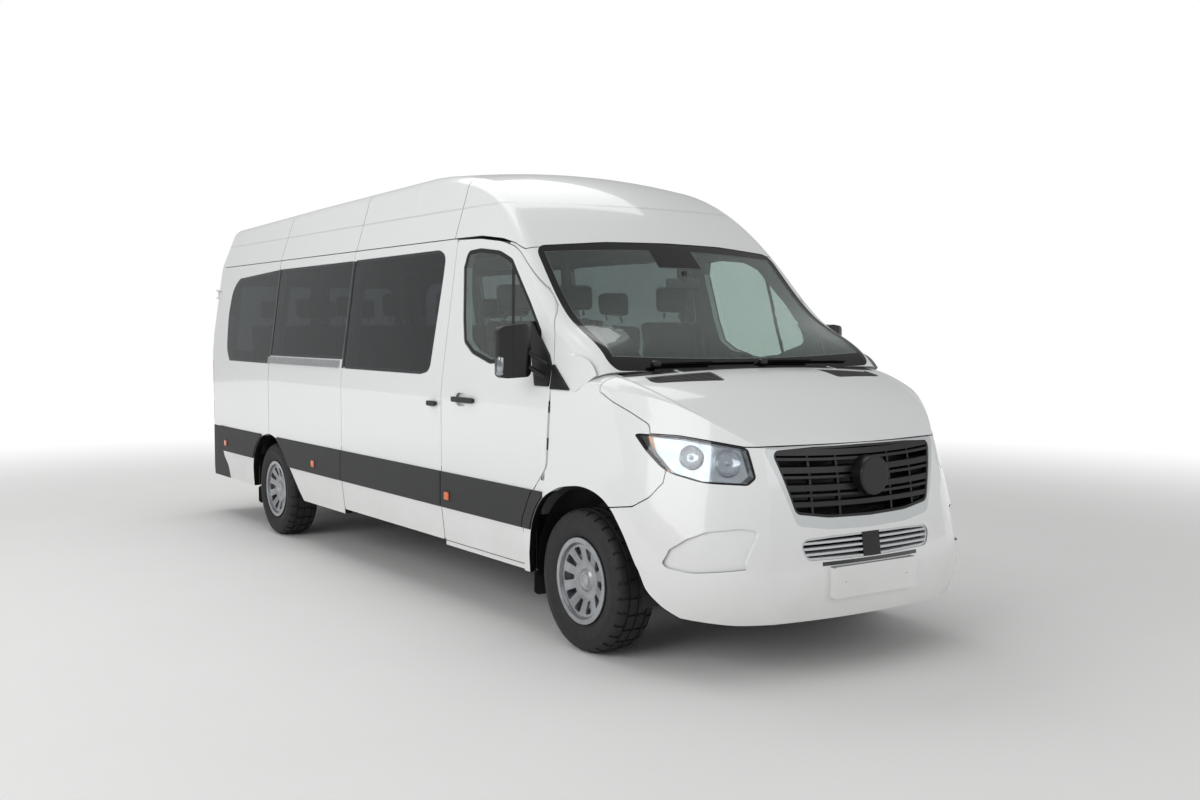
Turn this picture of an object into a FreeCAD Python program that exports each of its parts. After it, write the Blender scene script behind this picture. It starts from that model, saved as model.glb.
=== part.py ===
"""Long, high-roof passenger minibus: hollow body in its real panels, cab, seats, running gear and wheels.

Millimetres. The origin is on the ground at the middle of the length and width, +X forward, +Y the
vehicle's left side, +Z up.
"""
import FreeCAD
import Part
import math
import os

V = FreeCAD.Vector

# Overall sizes
LENGTH = 6967.0
WHEELBASE = 4325.0
FRONT_OVERHANG = 1070.0
HALF_WIDTH = 998.0
FRONT_X = LENGTH / 2 - FRONT_OVERHANG
REAR_X = FRONT_X - WHEELBASE
REAR_FACE_X = -LENGTH / 2 + 45.0

# Body shell
WALL = 50.0
NOSE_WALL = 35.0
FRAME_DEPTH = 40.0
LENS = 5.0
LAMP_GAP = 0.9
SAIL_THICK = 12.0
LAMP_DEPTH = 80.0
RECESS_DEPTH = 14.0
SHUT_GAP = 6.0
HALF_GAP = SHUT_GAP / 2
FIT = 0.3
SILL_Z = 335.0
WAIST_Z = 1365.0
GUTTER_Z = 2129.0
FLOOR_Z = 620.0
FLOOR_THICK = 30.0
END_SPARE = 0.2

# Glass
GLASS = 6.0
GLASS_DEPTH = 3.0
GLASS_EDGE_GAP = 2.0
GLASS_LAP = 18.0

# Wheels and tyres
TYRE_RADIUS = 356.0
TYRE_WIDTH = 235.0
TYRE_WALL = 14.0
RIM_RADIUS = 203.0
RIM_WIDTH = 190.0
RIM_THICK = 12.0
HALF_TRACK = 855.0
SPINDLE_RADIUS = 28.0
SPIN_FIT = 0.4
CAP_RADIUS = 196.0
CAP_WINDOWS = 10

# Steering
KINGPIN_Y = 760.0
KINGPIN_RADIUS = 13.0
KINGPIN_HALF = 120.0

# Hinges
DOOR_HINGE_X = 2120.0
DOOR_HINGE_Y = 985.0
REAR_HINGE_OUT = 15.0
REAR_DOOR_HALF = 880.0
BONNET_HINGE_X = 2612.0
BONNET_HINGE_Z = 1392.0
HINGE_RELIEF = 18.5
PIN_RADIUS = 5.0

DOOR_HINGE_LOW_Z = 1020.0
DOOR_HINGE_SPREAD = 190.0
BONNET_HINGE_Y = (-520.0, 520.0)
REAR_HINGE_Z = (700.0, 1900.0)

# Cab and seats
FLOOR_HALF = HALF_WIDTH - WALL - FRAME_DEPTH - FIT
DASH_HALF = 808.0
FRONT_SEAT_X = 1290.0
FRONT_SEAT_LIFT = 60.0
REAR_SEAT_ROWS = (480.0, -340.0, -1160.0, -1980.0, -2800.0)
SEAT_HEIGHT = 430.0
SEAT_WIDTH = 430.0
REAR_SEAT_Y = (-615.0, -180.0, 615.0)
# Columns: y, width, y from and to of the base under it
FRONT_SEATS = ((500, 520, 290, 710), (-225, 400, -395, -65), (-640, 400, -800, -470))
CUSHION_THICK = 110.0
HEADREST_RISE = 30.0
HEADREST_HALF = 125.0
WHEEL_RIM_R = 195.0
FLOOR_END_X = 1957.0
BULKHEAD_X = 2392.0
BULKHEAD_TOP_Z = 1180.0
BEAM_X = 2240.0
HINGE_PILLAR_Y = 893.0
COLUMN_TILT = 50.0
COLUMN_X = 1780.0
COLUMN_Y = 480.0
COLUMN_Z = 1330.0
SPINDLE_END = 912.0
CROSS_MEMBERS = (-3240, -2480, -1250, -250, 950, 1600, 3080)
OUTRIGGERS = (-2900, -1250, -250, 880, 1600)

# Panel seams
B_SEAM_X = 995.0
SLIDE_SEAM_X = -500.0
FENDER_TOP_Z = 1296.0
COWL_HALF = 850.0
PILLAR_LAND = 14.0
BONNET_FRONT_Z = 1070.0
COWL_TRAY = 780.0
COWL_TRAY_Z = 1280.0
TAIL_LAMP_FRONT_X = -3345.0

# Trim
TRIM_THICK = 11.0
TRIM_LOW_Z = 563.0
TRIM_TOP_Z = 772.0
RAIL_TOP_Z = 1386.0
MIRROR_IN_Y = 1030.0
MIRROR_OUT_Y = 1208.0

# Bonnet vents
VENT_RIM = 12.0
VENT_SLOT = 9.0
VENT_SLOTS = (2692, 2712, 2732, 2752, 2772, 2792, 2812)

# Grille
GRILLE_RIM = 12.0
RADIATOR_FACE_X = 3220.0
GRILLE_UPRIGHTS = (-330.0, -170.0, 170.0, 330.0)
INTAKE_SLATS = (578.0, 603.0, 628.0)
INTAKE_POST = 55.0
PLATE_SCREW_Y = 200.0
PLATE_SCREW_Z = 445.0
PLATE_SCREW_R = 3.0
BADGE_X = 3466.0
BADGE_Z = 921.0
BADGE_RADIUS = 92.0
# Columns: height of the bar at the front, bar height
GRILLE_BARS = [(1022, 26), (986, 12), (946, 26), (908, 12), (868, 26), (828, 12), (794, 22)]

# Frame under the body
RAIL_IN_Y = 390.0
RAIL_OUT_Y = 470.0
RAIL_LOW_Z = 480.0
WELL_TOP_Z = 830.0
TOW_X = -3100.0
TOW_SPREAD = 200.0
TOW_HOLE_R = 7.0
HOOPS = [(-3352, 34), (-1945, 40), (-500, 40), (954, 36)]
# Columns: x from, x to, z from, z to
RAILS = [(-3386, 990, 350, 440), (-3386, 990, 1250, 1312), (-3386, 990, 2084, 2190)]


def line(a, b):
    return Part.LineSegment(a, b).toShape()


def arc(a, middle, b):
    return Part.Arc(a, middle, b).toShape()


def flip(shape):
    """The same shape on the vehicle's other side."""
    return shape.mirror(V(0, 0, 0), V(0, 1, 0))


def box(x0, x1, y0, y1, z0, z1):
    return Part.makeBox(x1 - x0, y1 - y0, z1 - z0, V(x0, y0, z0))


def both(shape):
    return Part.makeCompound([shape, flip(shape)])


def rod(a, b, radius):
    return Part.makeCylinder(radius, b.sub(a).Length, a, b.sub(a))


def fuse(shapes):
    return shapes[0].fuse(shapes[1:]).removeSplitter()


def corner(before, here, after):
    """Start, middle and end of the arc that rounds one corner (u, v, radius)."""
    a = V(before[0] - here[0], before[1] - here[1], 0).normalize()
    b = V(after[0] - here[0], after[1] - here[1], 0).normalize()
    at = V(here[0], here[1], 0)
    half = a.getAngle(b) / 2
    if here[2] == 0 or abs(half - math.pi / 2) < 1e-4:
        return at, None, at
    reach = here[2] / math.tan(half)
    inside = (a + b).normalize()
    return at + a * reach, at + inside * (here[2] / math.sin(half) - here[2]), at + b * reach


def outline(points, put):
    """A face from corners (u, v, radius), laid out in space by put(u, v)."""
    count = len(points)
    corners = [corner(points[i - 1], points[i], points[(i + 1) % count]) for i in range(count)]
    edges = []
    for i in range(count):
        start, middle, end = corners[i]
        if middle:
            edges.append(arc(put(start), put(middle), put(end)))
        following = corners[(i + 1) % count][0]
        if (following - end).Length > 1e-6:
            edges.append(line(put(end), put(following)))
    return Part.Face(Part.Wire(edges))


def side_prism(points, y0, y1):
    """A prism across the vehicle from a side-view outline of (x, z, radius)."""
    return outline(points, lambda p: V(p.x, y0, p.y)).extrude(V(0, y1 - y0, 0))


def front_prism(points, x0, x1):
    """A prism along the vehicle from a front-view outline of (y, z, radius)."""
    return outline(points, lambda p: V(x0, p.x, p.y)).extrude(V(x1 - x0, 0, 0))


def plan_prism(points, z0, z1):
    """An upright prism from a plan outline of (x, y, radius)."""
    return outline(points, lambda p: V(p.x, p.y, z0)).extrude(V(0, 0, z1 - z0))


def grown(points, by):
    """The same corner points with the outline moved outwards by a distance, inwards if negative."""
    count = len(points)
    area = sum(points[i - 1][0] * points[i][1] - points[i][0] * points[i - 1][1] for i in range(count))
    turn = 1 if area > 0 else -1
    moved = []
    for i in range(count):
        a, p, b = points[i - 1], points[i], points[(i + 1) % count]
        d1 = V(p[0] - a[0], p[1] - a[1], 0).normalize()
        d2 = V(b[0] - p[0], b[1] - p[1], 0).normalize()
        n1, n2 = V(d1.y, -d1.x, 0) * turn, V(d2.y, -d2.x, 0) * turn
        out = (n1 + n2).normalize()
        step = by / max(0.3, out.dot(n1))
        radius = max(0.0, p[2] + by) if p[2] else 0
        moved.append((p[0] + out.x * step, p[1] + out.y * step, radius))
    return moved


ACROSS = (-1250, 1250)
JOIN_X = 300

# Cross-sections of the cabin, front to rear of the roof run. Columns: x, height of the roof's middle,
# y and z of the roof edge, y and z of the shoulder, y and z of the gutter, z of the top of the waist
ROOF_RUN = [
    (-3600, 2508, 655, 2460, 780, 2375, 878, GUTTER_Z, WAIST_Z),
    (-1500, 2555, 672, 2510, 782, 2430, 878, GUTTER_Z, WAIST_Z),
    (JOIN_X, 2588, 684, 2544, 786, 2458, 878, GUTTER_Z, WAIST_Z),
]
FOREHEAD = [
    (JOIN_X, 2588, 684, 2544, 786, 2458, 878, GUTTER_Z, WAIST_Z),
    (600, 2586, 686, 2540, 787, 2450, 878, GUTTER_Z, WAIST_Z),
    (900, 2558, 691, 2510, 792, 2420, 878, 2128, WAIST_Z),
    (1200, 2493, 707, 2441, 806, 2350, 882, 2105, WAIST_Z),
    (1500, 2354, 752, 2290, 845, 2196, 894, 2021, WAIST_Z),
    (1800, 2122, 822, 2024, 902, 1931, 922, 1807, WAIST_Z),
    (2200, 1750, 859, 1643, 946, 1554, 961, 1478, 1340),
    (2640, 1342, 893, 1229, 986, 1139, 992, 1085, 1000),
]


def cabin_section(row, inset):
    """Closed cross-section, lower by the inset on the slope of the windscreen."""
    x, z_top, y_edge, z_edge, y_shoulder, z_shoulder, y_gutter, z_gutter, z_waist = row
    slope = 1.0 + 0.37 * min(1.0, max(0.0, (x - 900) / 900))
    y_side = HALF_WIDTH - inset
    y_gutter = y_gutter - inset
    y_waist = min(y_gutter + (z_gutter - z_waist) * 0.137, y_side - 3)
    z_side = min(1200, z_waist - 150)
    foot = V(x, y_side - 25, SILL_Z - inset * END_SPARE)
    low = V(x, y_side, 560)
    side = V(x, y_side, z_side)
    waist = V(x, y_waist, z_waist)
    belly = V(x, y_side - (y_side - y_waist) * 0.28, (z_side + z_waist) / 2)
    gutter = V(x, y_gutter, z_gutter)
    shoulder = V(x, y_shoulder - inset * 0.9, z_shoulder - inset * 0.55)
    edge = V(x, y_edge - inset * 0.35, z_edge - inset * 0.97 * slope)
    across = edge - shoulder
    bow = (shoulder + edge) * 0.5 + V(0, across.z, -across.y) * 0.19
    top = V(x, 0, z_top - inset * slope)
    half = [line(foot, low), line(low, side), arc(side, belly, waist), line(waist, gutter),
            line(gutter, shoulder), arc(shoulder, bow, edge)]
    crown = arc(edge, top, V(x, -edge.y, edge.z))
    return Part.Wire(half + [crown] + [flip(e) for e in reversed(half)] + [line(V(x, -foot.y, foot.z), foot)])


def cabin(inset):
    """The closed cabin form: roof run and forehead, cut by the leaning rear face and rounded corners."""
    run = Part.makeLoft([cabin_section(row, inset) for row in ROOF_RUN], True, True)
    ahead = FOREHEAD[:-1] + [(FOREHEAD[-1][0] + inset * END_SPARE,) + FOREHEAD[-1][1:]]
    forehead = Part.makeLoft([cabin_section(row, inset) for row in ahead], True, False)
    rear = REAR_FACE_X + inset
    profile = [(rear, 200, 0), (rear + 10, 1330, 0), (rear + 62, 2600 - inset, 90), (700, 2700, 0), (700, 200, 0)]
    half = HALF_WIDTH - inset
    plan = [(rear - 3, half - 12, 95), (-2700, half + 2, 0), (700, half + 2, 0),
            (700, -half - 2, 0), (-2700, -half - 2, 0), (rear - 3, 12 - half, 95)]
    tail = run.common(side_prism(profile, *ACROSS).common(plan_prism(plan, 100, 2800)))
    faces = [f for f in tail.Faces + forehead.Faces if abs(f.BoundBox.XMax + f.BoundBox.XMin - 2 * JOIN_X) > 1]
    shell = Part.makeShell(faces)
    shell.sewShape()
    return Part.makeSolid(shell)


# Cross-sections of the nose. Columns: x, y of the belt, y and z of the shoulder, y and z of the bonnet's
# edge, height of the middle
NOSE = [
    (1850, 998, 992, 1290, 880, 1392, 1425),
    (2250, 998, 992, 1290, 880, 1392, 1425),
    (2465, 998, 990, 1288, 877, 1391, 1425),
    (2640, 996, 978, 1272, 862, 1370, 1406),
    (2861, 985, 935, 1215, 812, 1305, 1355),
    (3070, 965, 882, 1132, 742, 1214, 1262),
    (3282, 930, 800, 1010, 650, 1070, 1130),
    (3500, 880, 735, 860, 590, 925, 985),
]

# Plan outlines of the nose by height. Columns: z, x in the middle, x and y of the front corner, x and y of
# the side of the corner, x and y where the side begins
NOSE_PLAN = [
    (200, 3395, 3335, 520, 3160, 790, 2900, 930),
    (330, 3455, 3398, 560, 3225, 826, 2900, 962),
    (500, 3462, 3404, 580, 3238, 846, 2880, 978),
    (700, 3436, 3378, 570, 3195, 838, 2850, 972),
    (920, 3410, 3345, 560, 3140, 806, 2790, 952),
    (1080, 3377, 3302, 560, 3085, 792, 2740, 950),
    (1450, 3290, 3215, 560, 2990, 780, 2640, 950),
]


def nose_section(row, inset):
    x, y_belt, y_side, z_side, y_edge, z_edge, z_top = row
    base = V(x, y_belt - inset - 35, 170)
    low = V(x, y_belt - inset, 560)
    belt = V(x, y_belt - inset, z_side - 130)
    side = V(x, y_side - inset, z_side - inset * 0.4)
    bend = V(x, (y_belt * 0.7 + y_side * 0.3) - inset, z_side - 60 - inset * 0.2)
    edge = V(x, y_edge - inset * 0.45, z_edge - inset)
    across = edge - side
    bow = (side + edge) * 0.5 + V(0, across.z, -across.y) * 0.2
    half = [line(base, low), line(low, belt), arc(belt, bend, side), arc(side, bow, edge)]
    crown = arc(edge, V(x, 0, z_top - inset * 1.08), V(x, -edge.y, edge.z))
    return Part.Wire(half + [crown] + [flip(e) for e in reversed(half)] + [line(V(x, -base.y, base.z), base)])


def nose_plan(row, inset):
    z, x_middle, x_corner, y_corner, x_turn, y_turn, x_side, y_side = row
    front = V(x_corner - inset, y_corner - inset * 0.2, z)
    turn = V(x_turn - inset * 0.6, y_turn - inset * 0.75, z)
    side = V(x_side, y_side - inset, z)
    back = V(1800, 1012 - inset, z)
    half = [arc(front, turn, side), line(side, back)]
    bow = arc(V(front.x, -front.y, z), V(x_middle - inset, 0, z), front)
    return Part.Wire([bow] + half + [line(back, V(back.x, -back.y, z))] + [flip(e) for e in reversed(half)])


def nose(inset):
    along = Part.makeLoft([nose_section(row, inset) for row in NOSE], True, False)
    spare = inset * END_SPARE
    rows = [(NOSE_PLAN[0][0] - spare,) + NOSE_PLAN[0][1:]] + NOSE_PLAN[1:-1]
    rows.append((NOSE_PLAN[-1][0] + spare,) + NOSE_PLAN[-1][1:])
    upright = Part.makeLoft([nose_plan(row, inset) for row in rows], True, False)
    half = HALF_WIDTH - inset
    return along.common(upright.common(box(1700, 3700, -half, half, 0, 1700)))


# Side-view outlines, (x, z, corner radius)
DOOR = [
    (B_SEAM_X, SILL_Z + 30, 20), (B_SEAM_X, GUTTER_Z - 6, 30), (1264, 2115, 300), (1499, 2088, 300),
    (1649, 2052, 100), (1743, 2008, 60), (1856, 1920, 100), (2038, 1772, 200), (2116, 1684, 80),
    (2160, 1590, 60), (2186, 1450, 100), (2188, 1271, 200), (2169, 1093, 200), (2155, 900, 80), (2015, 752, 80),
    (1930, 600, 120), (1930, SILL_Z + 30, 40),
]
DOOR_GLASS = [
    (1108, 1950, 40), (1140, 2050, 50), (1290, 2058, 200), (1511, 2034, 300), (1654, 1983, 80),
    (1894, 1751, 300), (2070, 1560, 60), (2000, 1500, 40), (1760, 1432, 200), (1545, 1410, 150),
    (1326, 1463, 120), (1215, 1525, 60), (1172, 1655, 200),
]
SLIDE_GLASS = [
    (-486, 1332, 40), (-486, 2066, 40), (779, 2073, 150), (866, 2036, 60), (862, 1894, 200), (835, 1539, 200),
    (821, 1350, 60), (702, 1329, 100),
]
MIDDLE_GLASS = [
    (-1931, 1330, 12), (-1931, 2060, 12), (SLIDE_SEAM_X - 14, 2064, 12), (SLIDE_SEAM_X - 14, 1331, 12),
]
RAIL_GLASS = [(x, max(z, RAIL_TOP_Z + 6), r) for x, z, r in MIDDLE_GLASS]
REAR_GLASS = [
    (-2928, 1334, 60), (-3029, 1427, 200), (-3083, 1681, 300), (-3044, 1935, 200), (-2889, 2020, 120),
    (-1959, 2058, 12), (-1959, 1330, 12),
]
ARCH_FRONT = [
    (-440, 200, 0), (-425, 420, 0), (-407, 580, 300), (-328, 730, 300), (-150, 812, 350), (40, 838, 450),
    (244, 796, 400), (400, 640, 400), (512, 492, 0), (550, 415, 80), (640, 340, 60), (720, 290, 0), (720, 200, 0),
]
ARCH_REAR = [
    (-474, 200, 0), (-452, 400, 0), (-428, 500, 250), (-345, 660, 250), (-190, 762, 250), (-20, 790, 400),
    (150, 756, 350), (300, 664, 350), (430, 540, 300), (560, 400, 0), (650, 320, 0), (650, 200, 0),
]
BUMPER_SIDE = [
    (2500, 100, 0), (2500, 748, 0), (2700, 758, 0), (2860, 780, 80), (2950, 830, 60), (3005, 900, 0),
    (3010, BONNET_FRONT_Z, 0), (3600, BONNET_FRONT_Z, 0), (3600, 100, 0),
]
BONNET_SIDE = [
    (2500, 1349, 0), (2791, 1215, 0), (2893, 1160, 40), (2912, BONNET_FRONT_Z, 0), (3700, BONNET_FRONT_Z, 0),
    (3700, 1700, 0), (2500, 1700, 0),
]

# Front-view outlines, (y, z, corner radius), left half
LAMP = [
    (924, 1118, 10), (820, 1112, 150), (614, 1064, 20), (604, 932, 25), (640, 900, 30), (790, 908, 150),
    (880, 948, 80), (908, 1040, 100),
]
RECESS = [
    (945, 548, 20), (925, 612, 40), (880, 660, 60), (815, 697, 60), (700, 714, 60), (612, 700, 20), (660, 620, 60),
    (690, 560, 25), (682, 534, 8), (880, 512, 100), (938, 526, 15),
]
GRILLE = [(0, 732, 0), (250, 738, 400), (432, 764, 40), (522, 1052, 30), (300, 1062, 300), (0, 1064, 0)]
GRILLE_FRAME = [(0, 679, 0), (250, 686, 400), (430, 712, 50), (560, 1066, 20), (0, 1070, 0)]
INTAKE = [(0, 544, 0), (395, 552, 40), (436, 650, 40), (250, 657, 200), (0, 659, 0)]
PLATE = [(0, 372, 0), (272, 372, 12), (272, 518, 12), (0, 518, 0)]
SCREEN = [(0, 1380, 0), (400, 1386, 600), (886, 1400, 60), (830, 2050, 70), (400, 2082, 900), (0, 2088, 0)]
REAR_OPENING = [(0, 470, 0), (REAR_DOOR_HALF, 470, 20), (REAR_DOOR_HALF, 1350, 20), (830, 2080, 100), (740, 2330, 120), (0, 2370, 0)]
REAR_DOOR = [(HALF_GAP, 470, 0)] + REAR_OPENING[1:5] + [(HALF_GAP, 2370, 0)]
REAR_DOOR_GLASS = [(70, 1390, 50), (790, 1390, 50), (735, 1990, 70), (70, 1990, 50)]
TAIL_LAMP = [(905, 820, 20), (1100, 820, 0), (1100, 1330, 0), (905, 1330, 20)]

# Plan outlines, (x, y, corner radius), left half
BONNET = [
    (2668, 0, 0), (2648, 780, 0), (2622, 900, 40), (2602, 950, 30), (2592, 1000, 0), (3700, 1000, 0), (3700, 0, 0),
]
VENT = [(2676, 348, 12), (2838, 380, 25), (2764, 778, 40), (2668, 752, 12)]


def whole_front(half):
    """A whole front-view outline from its left half, which starts and ends on the middle line."""
    return half + [(-y, z, r) for y, z, r in reversed(half[1:-1])]


def whole_plan(half):
    """A whole plan outline from its left half, which starts and ends on the middle line."""
    return half + [(x, -y, r) for x, y, r in reversed(half[1:-1])]


def other_side(points):
    """A front-view outline moved to the other side of the vehicle."""
    return [(-y, z, r) for y, z, r in reversed(points)]


CABIN_LAYERS = (0.0, GLASS_DEPTH, GLASS_DEPTH + GLASS, GLASS_DEPTH + GLASS + FIT, WALL, WALL + FIT, WALL + FRAME_DEPTH)
CABIN = {inset: cabin(inset) for inset in CABIN_LAYERS}
NOSE_FORMS = {inset: nose(inset) for inset in (0.0, LENS, LENS + FIT, RECESS_DEPTH, NOSE_WALL,
                                              NOSE_WALL + FIT, LAMP_DEPTH)}
NOSE_OUTER = NOSE_FORMS[0.0]
NOSE_INNER = NOSE_FORMS[NOSE_WALL]
INSIDE = CABIN[WALL]
REBATE = CABIN[GLASS_DEPTH + GLASS + FIT]


def wall(prism):
    """The part of the cabin's wall inside a prism."""
    return CABIN[0.0].common(prism).cut(INSIDE)


def pane(prism):
    """The part of the glass layer inside a prism."""
    return CABIN[GLASS_DEPTH].common(prism).cut(CABIN[GLASS_DEPTH + GLASS])


def nose_wall(prism):
    return NOSE_OUTER.common(prism).cut(NOSE_INNER)


def window(points, put, *span):
    """The cut of one bonded window, a shallow rebate and a smaller way through, and its pane."""
    cut = put(points, *span).cut(REBATE).fuse(put(grown(points, -GLASS_LAP), *span))
    return cut, pane(put(grown(points, -GLASS_EDGE_GAP), *span))


def save(name, shape):
    os.makedirs("parts", exist_ok=True)
    solids = shape.Solids
    shape = solids[0] if len(solids) == 1 else Part.makeCompound(solids)
    shape.exportStep("parts/" + name + ".step")
    print(name, len(solids), "solids", shape.isValid())


# Roof and side walls
SIDE = (300, 1250)
AHEAD = (1500, 2700)
BEHIND = (-3600, -3300)
ROOF_SEAM = [(-3600, GUTTER_Z, 0), (B_SEAM_X, GUTTER_Z, 0), (1270, 2128, 300), (1510, 2100, 300), (1660, 2066, 80),
             (1760, 2030, 0), (1950, 2110, 0), (1950, 2800, 0), (-3600, 2800, 0)]
REAR_BUMPER_SIDE = [(-3600, 300, 0), (-3600, 770, 0), (-3205, 770, 0), (-3153, 622, 60), (-3082, 531, 60),
                    (-2995, 442, 0), (-2960, 300, 0)]
PILLAR_STRIP = [(1600, FENDER_TOP_Z + FIT, 0), (1600, 2300, 0), (2300, 2300, 0), (2640, 1420, 0), (2600, 1400, 0),
                (2405, FENDER_TOP_Z + FIT, 0)]
SLIDING_DOOR = [(SLIDE_SEAM_X, SILL_Z + 30, 20), (SLIDE_SEAM_X, GUTTER_Z, 20), (B_SEAM_X, GUTTER_Z, 20),
                (B_SEAM_X, SILL_Z + 30, 20)]
SCREEN_CUT, SCREEN_PANE = window(whole_front(SCREEN), front_prism, *AHEAD)
CABIN_FIT = cabin(-FIT)
CABIN_PLUS = cabin(-SAIL_THICK)


def bonnet_region(grow):
    """The bonnet's region, in plan from the screen forwards and in side view above the fenders."""
    plan = plan_prism(grown(whole_plan(BONNET), grow), 1040, 1600)
    return plan.common(side_prism(grown(BONNET_SIDE, grow), -1000, 1000))


BONNET_HOLE = bonnet_region(HALF_GAP)


def door_region(grow):
    """The front door's region in side view, kept off the edge of the windscreen."""
    screen = front_prism(grown(whole_front(SCREEN), PILLAR_LAND - grow), *AHEAD)
    return side_prism(grown(DOOR, grow), *SIDE).cut(screen)


def arch(points, axle_x, grow):
    return side_prism(grown([(x + axle_x, z, r) for x, z, r in points], grow), *ACROSS)


def roof():
    shell = wall(side_prism(grown(ROOF_SEAM, -HALF_GAP), *ACROSS)).cut(SCREEN_CUT)
    return shell.cut(front_prism(grown(whole_front(REAR_OPENING), SHUT_GAP), *BEHIND))


def side_wall(has_slide):
    """The outer side behind the front door, or behind the sliding door, and its window panes."""
    front = (SLIDE_SEAM_X if has_slide else B_SEAM_X) - HALF_GAP
    top = GUTTER_Z - HALF_GAP
    region = side_prism([(-3600, SILL_Z, 0), (-3600, top, 0), (front, top, 0), (front, SILL_Z, 0)], *SIDE)
    region = region.cut([arch(ARCH_REAR, REAR_X, 0), front_prism(grown(REAR_DOOR, SHUT_GAP), *BEHIND),
                         front_prism(grown(TAIL_LAMP, FIT), -3600, TAIL_LAMP_FRONT_X + FIT),
                         side_prism(REAR_BUMPER_SIDE, *SIDE)])
    shell = wall(region)
    panes = []
    for glass in [RAIL_GLASS, REAR_GLASS] if has_slide else [MIDDLE_GLASS, REAR_GLASS, SLIDE_GLASS]:
        cut, sheet = window(glass, side_prism, *SIDE)
        shell = shell.cut(cut)
        panes.append(sheet)
    return shell, panes


def sliding_door():
    cut, sheet = window(SLIDE_GLASS, side_prism, *SIDE)
    return wall(side_prism(grown(SLIDING_DOOR, -HALF_GAP), *SIDE)).cut(cut), sheet


def hinge_heights_front():
    return DOOR_HINGE_LOW_Z, DOOR_HINGE_LOW_Z + DOOR_HINGE_SPREAD


def front_door():
    cut, sheet = window(DOOR_GLASS, side_prism, *SIDE)
    taken = [side_prism([(1180, 1165, 36), (1180, 1240, 36), (1300, 1240, 36), (1300, 1165, 36)], HALF_WIDTH - 18, 1100)]
    for z in hinge_heights_front():
        taken.append(box(DOOR_HINGE_X - 14, 2300, 700, HALF_WIDTH - 3, z - 30, z + 30))
        taken.append(rod(V(DOOR_HINGE_X, DOOR_HINGE_Y, z - 52), V(DOOR_HINGE_X, DOOR_HINGE_Y, z + 52), PIN_RADIUS + FIT))
    return wall(door_region(-HALF_GAP).cut(taken)).cut(cut), sheet


def hinge_brackets_front():
    """Arms from the left hinge pillar into the door's pockets, with the hinge pins."""
    pieces = []
    for z in hinge_heights_front():
        arm = box(DOOR_HINGE_X - 8, DOOR_HINGE_X + 8, HINGE_PILLAR_Y - 5, DOOR_HINGE_Y, z - 8, z + 8)
        eye = rod(V(DOOR_HINGE_X, DOOR_HINGE_Y, z - 8), V(DOOR_HINGE_X, DOOR_HINGE_Y, z + 8), 8)
        pin = rod(V(DOOR_HINGE_X, DOOR_HINGE_Y, z - 50), V(DOOR_HINGE_X, DOOR_HINGE_Y, z + 50), PIN_RADIUS)
        pieces += [arm, eye, pin]
    return pieces


def handle(x0, x1, z0, z1):
    """A pull bar standing on the skin on two feet."""
    skin = HALF_WIDTH + FIT
    middle = (z0 + z1) / 2
    bar = side_prism([(x0, z0, 12), (x0, z1, 12), (x1, z1, 12), (x1, z0, 12)], skin + 12, skin + 26)
    feet = [box(x - 12, x + 12, skin, skin + 14, middle - 10, middle + 10) for x in (x0 + 22, x1 - 22)]
    return fuse([bar] + feet)


def mirror():
    """A black sail on the door's front corner, arms, an upright mirror head and its glass behind."""
    head = plan_prism([(1994, MIRROR_IN_Y, 10), (1994, MIRROR_OUT_Y - 4, 10), (2034, MIRROR_OUT_Y, 20),
                       (2078, 1140, 40), (2092, 1070, 40), (2072, MIRROR_IN_Y, 12)], 1340, 1640)
    head = head.common(front_prism([(MIRROR_IN_Y - 1, 1362, 40), (MIRROR_OUT_Y + 1, 1350, 45),
                                    (MIRROR_OUT_Y + 1, 1614, 50), (MIRROR_IN_Y - 1, 1634, 50)], 1900, 2200))
    head = head.cut(box(1980, 2001, MIRROR_IN_Y + 14, MIRROR_OUT_Y - 16, 1382, 1614))
    sheet = box(1994, 2001 - FIT, MIRROR_IN_Y + 16, MIRROR_OUT_Y - 18, 1384, 1612)
    sail = side_prism([(1940, 1655, 6), (2148, 1470, 10), (2176, 1420, 10), (2172, 1312, 6), (2048, 1312, 8),
                       (1990, 1442, 60)], 900, 1030)
    sail = sail.common(CABIN_PLUS).cut(CABIN_FIT)
    arms = [rod(V(2140, 966, 1345), V(2050, MIRROR_IN_Y + 40, 1430), 13),
            rod(V(2146, 962, 1420), V(2050, MIRROR_IN_Y + 40, 1500), 13)]
    return fuse([head, sail] + [a.cut(CABIN_FIT) for a in arms]), sheet


def fender():
    """Fender from the front door to the headlamp, with its wheel arch."""
    region = side_prism([(1925, SILL_Z, 0), (1925, 1440, 0), (3600, 1440, 0), (3600, SILL_Z, 0)], *SIDE)
    swing = rod(V(DOOR_HINGE_X, DOOR_HINGE_Y, 830), V(DOOR_HINGE_X, DOOR_HINGE_Y, 880), HINGE_RELIEF)
    region = region.cut([door_region(HALF_GAP), arch(ARCH_FRONT, FRONT_X, 0), swing,
                         side_prism(grown(BUMPER_SIDE, HALF_GAP), *SIDE),
                         front_prism(grown(LAMP, LAMP_GAP), 2700, 3600), BONNET_HOLE,
                         box(1800, 2200, 300, 1250, FENDER_TOP_Z, 1600),
                         box(1800, 2700, -COWL_HALF, COWL_HALF, 1000, 1600)])
    return nose_wall(region).cut(CABIN_PLUS.common(side_prism(grown(PILLAR_STRIP, FIT), *SIDE)))


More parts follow.
